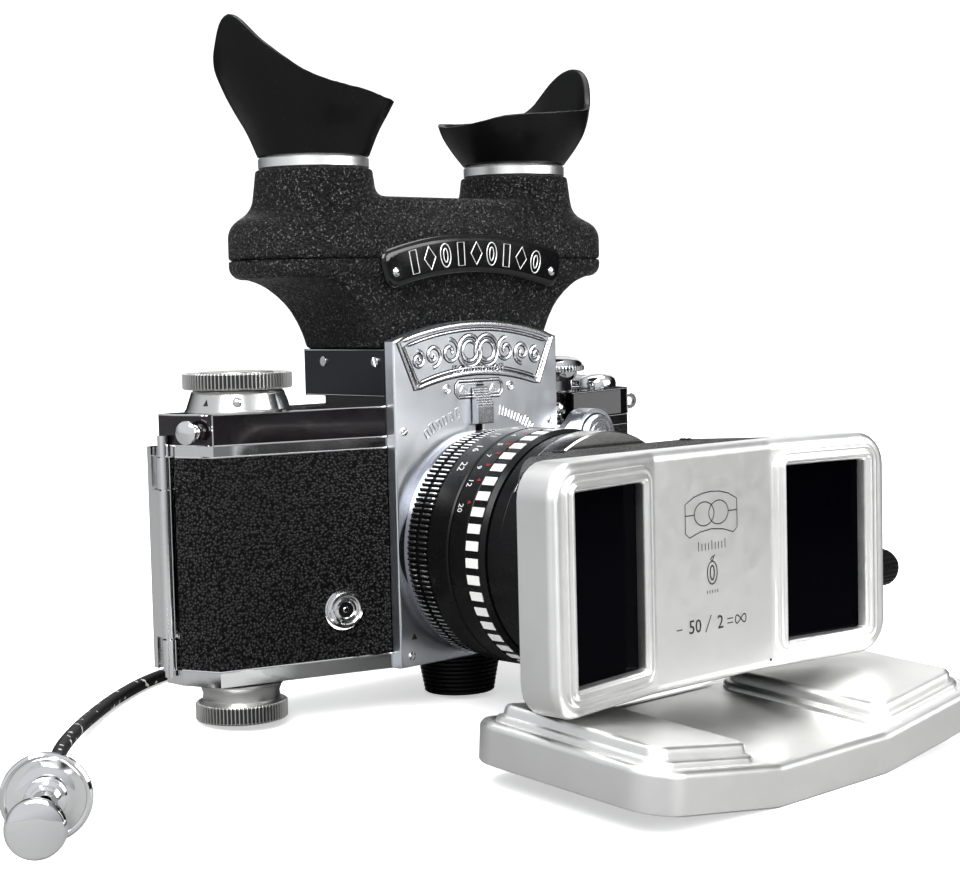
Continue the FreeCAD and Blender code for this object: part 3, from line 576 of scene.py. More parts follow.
def softbox(name, at, size, power, target=(0, 0, 0.07)):
    """Rectangular light aimed at the middle of the object."""
    light = bpy.data.lights.new(name, "AREA")
    light.shape, light.size, light.size_y, light.energy = "RECTANGLE", size[0], size[1], power
    made = bpy.data.objects.new(name, light)
    bpy.context.scene.collection.objects.link(made)
    made.location = at
    made.rotation_euler = (Vector(target) - Vector(at)).to_track_quat("-Z", "Y").to_euler()


def daylight():
    """Soft surroundings, brightest from above on the left, plain white to the eye."""
    world = bpy.data.worlds.new("studio")
    bpy.context.scene.world = world
    world.use_nodes = True
    tree = world.node_tree
    link, node = tree.links.new, tree.nodes.new
    plain = tree.nodes["Background"]
    towards = node("ShaderNodeVectorMath")
    towards.operation = "DOT_PRODUCT"
    towards.inputs[1].default_value = (-0.6, -0.1, 0.79)
    link(node("ShaderNodeTexCoord").outputs["Generated"], towards.inputs[0])
    half = node("ShaderNodeMath")
    half.operation = "MULTIPLY_ADD"
    half.inputs[1].default_value, half.inputs[2].default_value = 0.5, 0.5
    link(towards.outputs["Value"], half.inputs[0])
    ramp = node("ShaderNodeValToRGB")
    dark, bright = ramp.color_ramp.elements
    dark.position, dark.color = 0.42, (0.015, 0.015, 0.017, 1)
    bright.position, bright.color = 0.78, (0.60, 0.61, 0.63, 1)
    link(half.outputs[0], ramp.inputs[0])
    link(ramp.outputs[0], plain.inputs[0])
    white = node("ShaderNodeBackground")
    white.inputs[0].default_value = (1, 1, 1, 1)
    mix = node("ShaderNodeMixShader")
    link(node("ShaderNodeLightPath").outputs["Is Camera Ray"], mix.inputs[0])
    link(plain.outputs[0], mix.inputs[1])
    link(white.outputs[0], mix.inputs[2])
    link(mix.outputs[0], tree.nodes["World Output"].inputs[0])


floor()
daylight()
softbox("key", (-0.9, -0.5, 1.1), (1.0, 0.8), 17)
softbox("fill", (0.5, -1.3, 0.7), (1.2, 0.8), 15)
softbox("top", (0.1, 0.3, 1.4), (1.4, 1.0), 14)
softbox("rim", (1.0, 1.1, 0.55), (1.2, 0.9), 2.5)
bpy.context.scene.view_settings.view_transform = "Standard"
bpy.context.scene.view_settings.look = "Medium High Contrast"


# ---------------------------------------------------------------- finish of the CAD nodes
# Width in millimetres of the rounding given to the edges of the squarer nodes.
SOFTENED = {"body_casting": 0.3, "finder_well": 0.3, "top_cover_left": 0.45, "base_plate": 0.4,
            "top_cover_right": 0.45, "leather_left": 0.25, "leather_right": 0.25,
            "back_door": 0.5, "back_leather": 0.3, "door_catch": 0.3, "wind_lever": 0.4,
            "release_arm": 0.35, "hinge_pin": 0.2, "pressure_plate": 0.2}
slots = {p["node"]: p["material_slot"] for p in frame["record"]["subparts"]}
for name, node in frame["nodes"].items():
    node.data.materials.clear()
    node.data.materials.append(LOOKS[slots[name]])
    if name in SOFTENED:
        bevel = node.modifiers.new("soft edges", "BEVEL")
        bevel.width = SOFTENED[name] / 1000
        bevel.segments = 2
        bevel.limit_method = "ANGLE"
        bevel.angle_limit = math.radians(40)
        bevel.harden_normals = True


# ---------------------------------------------------------------- stereo attachment
MASK_HALF, MASK_HIGH, MASK_BEND, MASK_STEP = 57.95, 27.0, 20.5, 5.8
MASK_FRONT = 83.3                # distance ahead of the front plate
WINDOW_X, WINDOW_HALF, WINDOW_HIGH, FRAME = 37.7, 12.8, 20.6, 3.8
# (distance in from the frame's outer edge, height) across the stepped window moulding
MOULDING = [(0, 0), (0.1, 0.45), (0.35, 0.72), (0.8, 0.85), (1.2, 0.75), (1.4, 0.5), (1.55, 0.48),
            (1.75, 0.85), (2.0, 1.1), (2.5, 1.2), (2.9, 1.1), (3.1, 0.7), (3.2, 0.62),
            (3.5, 0.4), (3.8, -0.3), (3.8, -2.2)]


def mask_sag(x):
    """How far back the bent front lies at x."""
    return MASK_STEP * min(1.0, max(0.0, (MASK_HALF - abs(x)) / (MASK_HALF - MASK_BEND)))


def mask_shell():
    """Bent metal front: rounded tray with a stepped frame round each window."""
    solid = Solid()
    depth, wall, soft = 11.0, 2.2, 2.2

    def outline(d, h):
        return lifted(oblong(MASK_HALF - d, MASK_HIGH - d, 8.0 - d), h)

    rows = [(0.6, -depth), (0.0, -depth + 0.6)] + eased(-depth + 0.6, 0, soft, steps=5)[1:]
    back, rim = solid.rings([outline(d, h) for d, h in rows])
    lip, floor_edge = solid.rings([outline(wall, -depth), outline(wall, -wall)])
    for i in range(len(back)):
        solid.bm.faces.new((back[i - 1], back[i], lip[i], lip[i - 1]))
    outer, inner = [], []
    for sign in (-1, 1):
        rows = []
        for s, h in MOULDING:
            grow = FRAME - s
            rows.append(lifted(oblong(WINDOW_HALF + grow, WINDOW_HIGH + grow,
                                      max(0.5, 4.2 - s * 1.05), (sign * WINDOW_X, 0)), h))
        first, last = solid.rings(rows)
        outer.append(first)
        inner.append(last)
    solid.fill(rim, *outer)
    solid.fill(floor_edge, *inner)
    solid.split(-20.7, -19.9, 19.9, 20.7)
    return placed(solid.part(bend=lambda x, y, h: (
        x, y, h - mask_sag(x) * min(1.0, (h + depth) / (depth - soft)))), FRONT)


def mask_marks():
    """Painted engraving: an outlined crest with two lenses, two rows of marks, a scale line."""
    crest_sheen = [(-9, -3.6), (-7.6, -4.6), (-4, -3.6), (0, -3.2), (4, -3.6), (7.6, -4.6), (9, -3.6),
             (9, 3.0), (6, 4.4), (3, 5.1), (0, 5.3), (-3, 5.1), (-6, 4.4), (-9, 3.0)]
    crest_y, comb_y, seal_y, dashes_y, scale_y = 11.4, 4.3, -1.8, -6.1, -13.5
    parts = []

    def line(points, y, radius=0.13, loop=False):
        parts.append(moved(tube(lifted(points, 0.0), radius, 6, loop, 0.35), 0, y))

    line(crest_sheen, crest_y, loop=True)
    for x in (-2.5, 2.5):
        line(oval(3.4, 2.7, x, 0.4, 28), crest_y, loop=True)
    for x0, x1 in ((-9, -5.9), (5.9, 9)):
        line([(x0, 0.4), (x1, 0.4)], crest_y)
    for i in range(9):
        x = (i - 4) * 1.15
        line([(x, -0.8), (x, 0.8 if i % 4 else 1.3)], comb_y, 0.12)
    line(oval(1.7, 2.6, steps=28), seal_y, 0.16, True)
    line(oval(0.7, 1.6, steps=28), seal_y, 0.2, True)
    line([(0, 2.6), (0.9, 4.0), (0, 3.6), (-0.6, 3.0)], seal_y, 0.16, True)
    for i in range(5):
        x = (i - 2) * 0.9
        line([(x, -0.35), (x, 0.35)], dashes_y, 0.11)
    for text, x in (("50", -6.2), ("2", 2.6)):
        parts.append(moved(numerals(text, 4.4, 0.05), x, scale_y))
    line([(-2.6, -1.6), (-0.6, 2.1)], scale_y, 0.15)
    for x0, x1, y in ((5.0, 7.0, 0.5), (5.0, 7.0, -0.5), (-12.5, -10.6, 0)):
        line([(x0, y), (x1, y)], scale_y)
    turns = [2 * math.pi * i / 36 for i in range(36)]
    line([(9.8 + 1.9 * math.sin(t), 0.95 * math.sin(2 * t)) for t in turns], scale_y, 0.15, True)
    parts.append(moved(lathe([(0.35, 0), (0.35, 0.08), (0, 0.08)], 16), 20.6, -24.7))
    return placed(merged(*parts), FRONT @ Matrix.Translation((-1.3, 0, MASK_FRONT - MASK_STEP + 0.02)))


def windows():
    panes = []
    for sign in (-1, 1):
        pane = loft([lifted(oblong(WINDOW_HALF + 1.5, WINDOW_HIGH + 1.5, 0.6,
                                   (sign * WINDOW_X, 0), 2), h) for h in (-4.0, -2.3)])
        panes.append(([(x, y, h - mask_sag(x)) for x, y, h in pane[0]], pane[1]))
    return placed(merged(*panes), FRONT @ Matrix.Translation((0, 0, MASK_FRONT)))


def housing():
    """Flared casting behind the front, its corners softened, with a screwed lid top and bottom."""
    rows = []
    for share, soft in ((0.0, 1.6), (0.05, 0.4), (0.5, 0.0), (0.97, 0.0), (1.0, 0.5)):
        half = 29.0 + (56.95 - 29.0) * share - soft
        rows.append(lifted(oblong(half, 25.4 - soft, 4.0, steps=5), 44.0 + 28.3 * share))
    solid = Solid()
    start, end = solid.rings(rows)
    hole = circle(17.0, steps=48)
    near, deep = solid.rings([lifted(hole, 44.0), lifted(hole, 46.0)])
    inner = [lifted(oblong(27.0, 23.4, 3.0, steps=5), 46.0),
             lifted(oblong(54.9, 23.4, 3.0, steps=5), 72.3)]
    inner_start, inner_end = solid.rings(inner)
    solid.fill(start, near)
    solid.fill(inner_start, deep)
    solid.fill(end, inner_end)
    shell = placed(solid.part(), FRONT)
    lids = []
    for side in (1, -1):
        lid = [(-25.0, 47.5), (25.0, 47.5), (47.0, 69.5), (-47.0, 69.5)]
        lid = prism([(x, -y) for x, y in reversed(lid)], 25.2, 25.9, 0.35)
        lid = merged(lid, *[moved(screw(1.5, 0.5, 0.5 + x), x, -y, 25.8)
                            for x, y in ((-22, 49.8), (22, 49.8), (-40, 67), (40, 67))])
        lids.append(placed(lid, Matrix.Scale(side, 4, (0, 0, 1))))
    return merged(shell, *lids)


def clamp():
    """Knurled clamp screw on the right end."""
    knob = lathe([(0, -3.6), (2.0, -3.6), (2.0, 0.35), (4.1, 0.35), (4.5, 0.8, 1), (4.5, 6.2, 1),
                  (4.3, 6.9), (3.6, 8.1), (2.4, 8.35), (0, 8.35)], 96, (0.1, 0.1, -0.25, -0.25))
    return placed(knob, facing((MASK_HALF, -77.5, -7.7), (1, 0, 0)))


AT_FRONT = FRONT @ Matrix.Translation((0, 0, MASK_FRONT)) @ FRONT.inverted()
piece("mask_shell", placed(mask_shell(), AT_FRONT), "barrel", "satin_aluminium",
      stands_for=["front_mask"], sharp=40)
piece("mask_marks", mask_marks(), "barrel", "engraving_and_painted_shade")
piece("window_panes", windows(), "barrel", "dark_glass", stands_for=["window_glass"])
piece("housing", housing(), "barrel", "wrinkle_paint", stands_for=["prism_housing"])
piece("clamp_screw", clamp(), "clamp_knob", "black_metal", stands_for=["clamp_knob"])


# ---------------------------------------------------------------- cover on the table
COVER_HALF, COVER_DEEP, COVER_BEND, COVER_DROP = 59.9, 28.5, 19.7, 5.8
COVER = Matrix.Translation((6.6, -50.9, 0)) @ Matrix.Rotation(math.radians(0.6), 4, "Z")
# (distance in, height) up the moulding round each raised end
STEPS = [(0, 0), (0.15, 0.9), (0.5, 1.35), (1.1, 1.5), (1.5, 1.65), (1.7, 2.3), (1.9, 3.2),
         (2.3, 3.8), (2.9, 4.05), (3.6, 4.1)]


def cover_lift(x):
    return COVER_DROP * max(0.0, (abs(x) - COVER_BEND) / (COVER_HALF - COVER_BEND))


def cover_shell():
    """Bent metal lid: rounded tray with a stepped plateau on each slanted end."""
    solid = Solid()
    skirt, wall = 9.6, 1.4

    def outline(d, h):
        return lifted(oblong(COVER_HALF - d, COVER_DEEP - d, max(1.0, 9.0 - d)), h)

    def plateau(sign, extra, drop):
        rows = []
        for s, h in STEPS:
            d = s + extra
            rows.append(lifted(oblong(17.2 - d, 24.9 - d, max(0.8, 5.0 - d * 0.9),
                                      (sign * 39.1, 0)), skirt + h - drop))
        return rows

    rows = [(0.35, 0), (0, 0.4)] + eased(0.4, skirt, 1.9, steps=5)[1:]
    rows += [(2.5, skirt), (2.8, skirt - 0.25), (3.1, skirt - 0.3)]
    foot, rim = solid.rings([outline(d, h) for d, h in rows])
    lip, ceiling = solid.rings([outline(wall, 0), outline(wall, skirt - wall - 1.0),
                                outline(wall + 1.0, skirt - wall)])
    for i in range(len(foot)):
        solid.bm.faces.new((foot[i - 1], foot[i], lip[i], lip[i - 1]))
    starts = []
    for sign in (-1, 1):
        rows = plateau(sign, 0.0, 0.3)
        first, last = solid.rings(rows)
        solid.bm.faces.new(last)
        starts.append(first)
    solid.fill(rim, *starts)
    starts = []
    for sign in (-1, 1):
        first, last = solid.rings(plateau(sign, wall, wall))
        solid.bm.faces.new(last)
        starts.append(first)
    solid.fill(ceiling, *starts)
    solid.split(-20.2, -19.2, 19.2, 20.2)
    return solid.part(bend=lambda x, y, h: (x, y, h + cover_lift(x)))


piece("cover_shell", placed(cover_shell(), COVER), "cover", "satin_aluminium",
      stands_for=["front_cover"], stand=MM, sharp=40)


# ---------------------------------------------------------------- lens
def ribs(count, depth):
    """Radius pattern of straight ribs, four steps to a rib."""
    return count * 4, (0.0, 0.0, -depth, -depth)


RIBS, RIB_R = 130, 28.4           # ribs of the aperture ring and their outer radius


def aperture():
    steps, pattern = ribs(RIBS, 0.6)
    ring = lathe([(25.85, 3.0), (27.4, 3.0), (27.7, 3.3), (RIB_R, 3.6, 1), (RIB_R, 6.7, 1),
                  (27.6, 6.9), (27.6, 7.3), (RIB_R, 7.5, 1), (RIB_R, 10.7, 1), (27.7, 11.0),
                  (27.7, 11.6), (28.9, 11.9), (29.3, 12.3), (29.3, 18.7), (29.0, 19.1),
                  (25.85, 19.1)], steps, pattern, loop=True)
    return placed(ring, FRONT)


def focus():
    ring = lathe([(25.85, 19.5), (29.0, 19.5), (29.3, 19.8), (29.3, 25.1), (29.1, 25.3),
                  (29.1, 29.7), (29.3, 29.9), (29.3, 30.2), (28.4, 31.2), (25.85, 31.2)],
                 144, loop=True)
    return placed(ring, FRONT)


def zebra():
    """White lands round the focus ring."""
    count = 45
    block = prism(oblong(1.15, 2.1, 0.15, steps=2), -0.1, 0.18, 0.06)
    return merged(*[on_barrel(block, 29.1, 27.5, 2 * math.pi * (i + 0.4) / count)
                    for i in range(count)])


def scale(marks, size, radius, ahead_by):
    """Numbers round the lens, given with their angle from the top in degrees."""
    return merged(*[on_barrel(numerals(text, size, 0.06), radius, ahead_by, math.radians(angle))
                    for text, angle in marks])


def ticks(angles, radius, ahead_by, length):
    mark = prism(oblong(0.14, length / 2, 0.02, steps=1), -0.05, 0.05, 0.01)
    return merged(*[on_barrel(mark, radius, ahead_by, math.radians(a)) for a in angles])


def flange():
    ring = lathe([(15.5, 0.0), (27.9, 0.0), (27.9, 1.9), (27.2, 2.6), (26.2, 2.6), (15.5, 2.6)],
                 120, loop=True)
    back = lathe([(17.5, -3.1), (20.0, -3.1), (20.0, 0.1), (17.5, 0.1)], 96, loop=True)
    return placed(merged(ring, back), FRONT)


def collar():
    ring = lathe([(17.0, 36.2), (28.5, 36.2), (29.0, 36.7), (29.0, 42.6), (28.7, 42.9),
                  (28.6, 43.2), (28.6, 44.0), (17.0, 44.0)], 144, loop=True)
    return placed(ring, FRONT)


def collar_top_highlight():
    """Painted highlight: a band of bright metal over the top of the collar only, where the light from above falls
    on it.
    """
    rings = []
    for i in range(41):
        angle = math.radians(34 + 112 * i / 40)
        rings.append([(r * math.cos(angle), r * math.sin(angle), h) for r, h in
                      ((28.7, 36.9), (29.1, 37.1), (29.2, 37.4), (29.2, 43.7),
                       (28.9, 44.1), (25.6, 44.1), (25.6, 43.6), (28.4, 43.4))])
    return placed(loft(rings), FRONT)


def barrel():
    ring = lathe([(16.0, 10.0), (19.95, 10.0), (19.95, 31.7), (27.9, 31.7), (28.4, 32.1),
                  (28.4, 35.8), (28.0, 36.2), (16.0, 36.2)], 120, loop=True)
    return placed(ring, FRONT)


piece("lens_mount_ring", flange(), "camera", "dark_plate", stands_for=["lens_flange"])
piece("aperture_grip", aperture(), "aperture_ring", "black_metal", stands_for=["aperture_ring"])
piece("aperture_figures", scale([("22", 44), ("16", 31), ("11", 18), ("8", 5), ("5.6", -8),
                                 ("4", -21), ("2.8", -34)], 3.0, 29.3, 15.3),
      "aperture_ring", "white_paint")
piece("focus_grip", focus(), "focus_ring", "black_metal", stands_for=["focus_ring"])
piece("focus_lands", zebra(), "focus_ring", "white_paint")
piece("focus_figures", merged(scale([("20", 66), ("12", 53), ("9", 44), ("7", 36), ("5", 27),
                                     ("4", 17), ("3", 6)], 2.3, 29.3, 21.3),
                              ticks(range(80, 150, 5), 27.75, 11.3, 1.2)),
      "focus_ring", "white_paint")
piece("focus_figures_red", scale([("6", 63), ("4", 51), ("3", 42), ("2", 34), ("1.5", 25),
                                  ("1", 14)], 1.9, 29.3, 23.8), "focus_ring", "red_paint")
piece("barrel_tube", barrel(), "barrel", "black_metal", stands_for=["front_barrel"])
piece("attachment_collar", collar(), "barrel", "black_metal",
      stands_for=["mount_collar"])
# Painted highlight along the top of the collar.
piece("collar_top_highlight", collar_top_highlight(), "barrel", "brushed")


# ---------------------------------------------------------------- binocular finder
EYE_X, EYE_Y = 34.25, 20.9
BADGE_MID, BADGE_ARC = 72.8, 100.0        # height of the name plate's middle, its arc's radius
FOOT_HALF, FOOT_LOW, FOOT_HIGH = 27.6, 37.7, 49.5
BULGE_Y, BULGE_END, BULGE_R = 19.4, 40.5, 17.3
PARTING = 71.6


def soft_union(a, b, reach):
    share = np.clip(0.5 + 0.5 * (b - a) / reach, 0, 1)
    return b * (1 - share) + a * share - reach * share * (1 - share)


def rounded(plan, below, above, radius):
    """Distance to a body that is plan deep sideways and lies between two levels."""
    side, tall = plan + radius, np.maximum(below, above) + radius
    outside = np.hypot(np.maximum(side, 0), np.maximum(tall, 0))
    return np.minimum(np.maximum(side, tall), 0) + outside - radius


def finder_body(x, y, z):
    """Distance field of the cast finder: neck, bulge, saddle and two turrets."""
    x = np.abs(x)
    plan = np.hypot(np.maximum(x - BULGE_END, 0), y - BULGE_Y) - BULGE_R
    edge = np.where(z > 74.0, 5.0, 3.2)
    bulge = rounded(plan, 67.0 - z, z - 82.0, edge)
    radius = 16.15 - (z - 79.0) * 0.124
    turret = rounded(np.hypot(x - EYE_X, y - EYE_Y) - radius, 74.0 - z, z - 93.9, 0.5)
    saddle_plan = np.maximum(x - EYE_X, np.abs(y - 19.9) - 14.5)
    saddle = rounded(saddle_plan, 74.0 - z, z - 87.0, 2.5)
    top = soft_union(bulge, soft_union(saddle, turret, 2.6), 5.0)
    half = np.interp(z, [49.5, 53.0, 56.0, 59.0, 61.0, 63.0, 64.6, 66.0, 67.3, 68.2],
                     [27.6, 28.9, 30.5, 32.6, 34.5, 37.0, 39.5, 42.0, 44.6, 46.0])
    flank = (x - half) / (1 + 0.9 * np.clip((z - 49.5) / 18.1, 0, 1))
    deep = np.abs(y - 19.65) - 15.85
    corner = np.hypot(np.maximum(flank + 2.0, 0), np.maximum(deep + 2.0, 0)) - 2.0
    sides = np.where((flank > -2.0) & (deep > -2.0), corner, np.maximum(flank, deep))
    neck = rounded(sides, 49.5 - z, z - 68.5, 0.4)
    body = soft_union(top, neck, 2.2)
    tube = np.maximum(np.hypot(x - EYE_X, y - EYE_Y) - 11.35, 82.0 - z)
    well = np.maximum(np.maximum(x - 19.0, np.abs(y - 18.5) - 10.5), z - 56.0)
    return np.maximum(body, -np.minimum(tube, well))


def skin(field, low, high, step):
    """Mesh of a field's zero surface, one point in every cell that it crosses."""
    axes = [np.arange(a, b + step, step) for a, b in zip(low, high)]
    depth = field(*np.meshgrid(*axes, indexing="ij"))
    total = np.zeros(depth.shape + (3,))
    count = np.zeros(depth.shape)
    walls = []
    for k in range(3):
        near = np.take(depth, range(depth.shape[k] - 1), axis=k)
        far = np.take(depth, range(1, depth.shape[k]), axis=k)
        cells = np.argwhere((near < 0) != (far < 0))
        a, b = near[tuple(cells.T)], far[tuple(cells.T)]
        spot = cells.astype(float)
        spot[:, k] += a / (a - b)
        m, n = (k + 1) % 3, (k + 2) % 3
        around_edge = []
        for dm, dn in ((0, 0), (1, 0), (1, 1), (0, 1)):
            cell = cells.copy()
            cell[:, m] -= dm
            cell[:, n] -= dn
            np.add.at(total, tuple(cell.T), spot)
            np.add.at(count, tuple(cell.T), 1)
            around_edge.append(np.ravel_multi_index(tuple(cell.T), depth.shape))
        quads = np.stack(around_edge, 1)
        quads[a > 0] = quads[a > 0][:, ::-1]
        walls.append(quads)
    used = np.flatnonzero(count.ravel())
    order = np.zeros(count.size, int)
    order[used] = np.arange(len(used))
    points = total.reshape(-1, 3)[used] / count.ravel()[used][:, None]
    points = points * step + np.array(low)
    return points.tolist(), order[np.concatenate(walls)].tolist()


def finder_lower(x, y, z):
    return np.maximum(finder_body(x, y, z), z - PARTING)


def finder_upper(x, y, z):
    return np.maximum(finder_body(x, y, z), PARTING - z)


# Each cup: turn of its wing, outer profile (radius, z), rim height along the wing (distance, z)
CUPS = {
    -1: (-2.0, [(13.7, 97.05), (16.2, 103.0), (19.0, 108.0), (21.5, 113.0), (23.7, 119.0),
                (24.9, 126.0), (26.0, 133.0)],
         [(-32.0, 110.3), (-24.0, 110.3), (-10.0, 110.4), (2.0, 111.9), (10.0, 113.4),
          (16.0, 115.9), (20.0, 119.3), (23.0, 123.3), (25.3, 129.0), (26.4, 133.0)]),
    1: (-5.0, [(13.7, 97.05), (17.0, 101.5), (19.3, 105.5), (20.5, 109.5), (21.2, 114.0),
               (21.9, 119.0), (22.6, 127.0)],
        [(-32.0, 104.5), (-20.0, 106.9), (-14.0, 108.9), (-3.5, 109.7), (3.5, 110.3),
         (10.0, 111.0), (15.0, 112.5), (17.4, 114.6), (19.4, 118.0), (21.2, 121.8),
         (22.5, 124.4)])}


def smooth_curve(knots):
    """Smooth function through (x, y) knots that never overshoots them."""
    xs = np.array([k[0] for k in knots])
    ys = np.array([k[1] for k in knots])
    h, d = np.diff(xs), np.diff(ys) / np.diff(xs)
    slope = np.zeros(len(xs))
    same = d[1:] * d[:-1] > 0
    w1, w2 = 2 * h[1:] + h[:-1], h[1:] + 2 * h[:-1]
    slope[1:-1][same] = (w1 + w2)[same] / (w1[same] / d[:-1][same] + w2[same] / d[1:][same])
    slope[0], slope[-1] = d[0], d[-1]

    def curve(x):
        i = np.clip(np.searchsorted(xs, x) - 1, 0, len(h) - 1)
        t = (x - xs[i]) / h[i]
        return ((1 + 2 * t) * (1 - t) ** 2 * ys[i] + t * (1 - t) ** 2 * h[i] * slope[i]
                + t * t * (3 - 2 * t) * ys[i + 1] + t * t * (t - 1) * h[i] * slope[i + 1])
    return curve


def rubber_cup(sign):
    """Winged cup: flared wall up to an S-shaped rim with a soft lip."""
    turn, outer, heights = CUPS[sign]
    radius = smooth_curve([(z, r) for r, z in outer])
    rim = smooth_curve(heights)
    levels = np.linspace(outer[0][1], outer[-1][1], 400)
    wall, count = 1.7, 120
    foot = outer[0][1]
    columns = []
    for i in range(count):
        angle = 2 * math.pi * i / count
        along = radius(levels) * math.cos(angle)
        over = levels >= rim(np.clip(along, heights[0][0], heights[-1][0]))
        top = float(levels[int(over.argmax())]) if over.any() else float(levels[-1])
        column = [(float(radius(foot)) - wall, foot)]
        column += [(float(radius(foot + (top - foot) * t)), foot + (top - foot) * t)
                   for t in [k / 14 * 0.97 for k in range(15)]]
        edge = float(radius(top))
        column += [(edge - 0.1, top - 0.25), (edge - 0.45, top), (edge - wall + 0.5, top),
                   (edge - wall + 0.1, top - 0.25)]
        column += [(float(radius(foot + (top - foot) * t)) - wall, foot + (top - foot) * t)
                   for t in [k / 14 * 0.97 for k in range(14, 0, -1)]]
        if sign < 0:
            angle = math.pi - angle
        angle += math.radians(sign * turn)
        columns.append([(r * math.cos(angle), r * math.sin(angle), z) for r, z in column])
    part = loft(columns + columns[:1], caps=False)
    return moved(part, sign * EYE_X, EYE_Y)


def name_plate():
    """Curved black plate with a pillow edge."""
    outline = oblong(30.5, 4.9, 3.2)
    dense = []
    for i, spot in enumerate(outline):
        before = outline[i - 1]
        steps = max(1, int(math.dist(before, spot) / 2.0))
        dense += [(before[0] + (spot[0] - before[0]) * k / steps,
                   before[1] + (spot[1] - before[1]) * k / steps) for k in range(1, steps + 1)]
    solid = Solid()
    rows = [lifted(inset(dense, d), h) for d, h in
            [(0, 0), (0, 0.5), (0.25, 0.85), (0.7, 1.15), (1.2, 1.3), (1.7, 1.38)]]
    back, rim = solid.rings(rows)
    solid.bm.faces.new(back)
    solid.fill(rim)
    solid.split(*range(-28, 29, 2))
    return arched(solid.part())


def arched(part):
    """Bends a flat strip along the name plate's arc and lays it on the finder's front."""
    points = []
    for x, y, h in part[0]:
        angle = x / BADGE_ARC
        out = BADGE_ARC + y
        points.append((1.0 + out * math.sin(angle), 2.1 - h,
                       BADGE_MID - BADGE_ARC + out * math.cos(angle)))
    return points, part[1]


def plate_ornament():
    """Row of outlined bars, lozenges and rounds in bright metal in place of a name."""
    parts = []

    def outline(points):
        parts.append(tube([(x, y, 1.42) for x, y in points], 0.17, 6, True, 0.6))

    for i, x in enumerate([-21.0 + 5.25 * k for k in range(9)]):
        kind = i % 3
        if kind == 0:
            outline([(x - 1.1, -2.9), (x + 1.1, -2.9), (x + 1.1, 2.9), (x - 1.1, 2.9)])
        elif kind == 1:
            outline([(x, -2.9), (x + 1.9, 0), (x, 2.9), (x - 1.9, 0)])
        else:
            outline(oval(1.7, 2.9, x, steps=24))
            outline(oval(0.7, 1.7, x, steps=20))
    return arched(merged(*parts))


def plate_rivets():
    rivet = lathe([(1.15, 1.2), (1.15, 1.45), (0.9, 1.75), (0.5, 1.92), (0, 1.95)], 24)
    return merged(*[arched(moved(rivet, x, -1.0)) for x in (-27.3, 27.3)])


def eye_ring(sign):
    ring = lathe([(10.2, 84.0), (11.3, 84.0), (11.3, 93.9), (13.3, 93.9), (13.6, 94.2),
                  (13.6, 96.3), (13.3, 96.7), (11.6, 96.7), (11.6, 100.0), (11.3, 100.4),
                  (10.4, 100.4), (10.2, 100.0)], 96, loop=True)
    return moved(ring, sign * EYE_X, EYE_Y)


def eye_lens(sign):
    """Bulged eye lens."""
    half = [(10.2 * math.sin(a), 90.2 + 0.8 * math.cos(a)) for a in
            [math.pi / 2 * (1 - i / 8) for i in range(9)]]
    return moved(lathe([(0, 86.0), (10.2, 86.0)] + half, 64), sign * EYE_X, EYE_Y)


def finder_foot():
    """Grey foot: four walls and the front and back strips of its open top."""
    spans = ((-FOOT_HALF, FOOT_HALF, 3.6, 4.8, FOOT_LOW),
             (-FOOT_HALF, FOOT_HALF, 31.9, 35.5, FOOT_LOW),
             (-FOOT_HALF, -24.8, 4.8, 31.9, FOOT_LOW), (24.8, FOOT_HALF, 4.8, 31.9, FOOT_LOW),
             (-24.8, 24.8, 4.8, 9.0, 46.5), (-24.8, 24.8, 28.0, 31.9, 46.5))
    return merged(*[box(x0, x1, y0, y1, low, FOOT_HIGH, 0.15) for x0, x1, y0, y1, low in spans])


def foot_edges():
    """Bright worn edges where the foot meets the casting and the camera."""
    loop = oblong(27.55, 15.9, 0.6, (0, 19.55), 2)
    return merged(tube(lifted(loop, 49.25), 0.14, 5, True), tube(lifted(loop, 37.95), 0.12, 5, True))


def side_screws():
    parts = []
    for sign in (-1, 1):
        for y, turn in ((7.3, 1.9), (27.4, 1.5)):
            side = facing((sign * FOOT_HALF, y, 46.4), (sign, 0, 0))
            parts.append(placed(screw(1.25, 0.5, turn), side))
    return merged(*parts)


piece("finder_lower", skin(finder_lower, (-60, 0, 48), (60, 39, 75), 0.75), "viewer",
      "wrinkle_paint", stands_for=["viewer_lower_shell"], sharp=50)
piece("finder_upper", skin(finder_upper, (-60, 0, 70), (60, 41, 96), 0.75), "viewer",
      "wrinkle_paint", stands_for=["viewer_upper_shell"], sharp=50)
piece("name_plate", name_plate(), "viewer", "black_gloss",
      stands_for=["badge_plate"])
piece("name_plate_ornament", plate_ornament(), "viewer", "satin_aluminium")
piece("name_plate_rivets", plate_rivets(), "viewer", "chrome")
piece("finder_foot", finder_foot(), "viewer", "grey_metal", stands_for=["viewer_foot"])
piece("finder_foot_edges", foot_edges(), "viewer", "satin_aluminium")
piece("finder_foot_screws", side_screws(), "viewer", "chrome", stands_for=["foot_screws"])
piece("eye_glasses", merged(eye_lens(-1), eye_lens(1)), "viewer", "glass",
      stands_for=["eye_lenses"])
for cup_side, cup_name in ((-1, "left"), (1, "right")):
    piece("eye_ring_" + cup_name, eye_ring(cup_side), "viewer", "satin_aluminium",
          stands_for=["eyepiece_ring_" + cup_name])
    piece("rubber_cup_" + cup_name, rubber_cup(cup_side), "eyecup_" + cup_name, "rubber",
          stands_for=["eyecup_" + cup_name], sharp=60)


# ---------------------------------------------------------------- front plate
PLATE_HALF, PLATE_FOOT, PLATE_SHOULDER, PLATE_CROWN = 28.1, -29.0, 51.3, 55.9


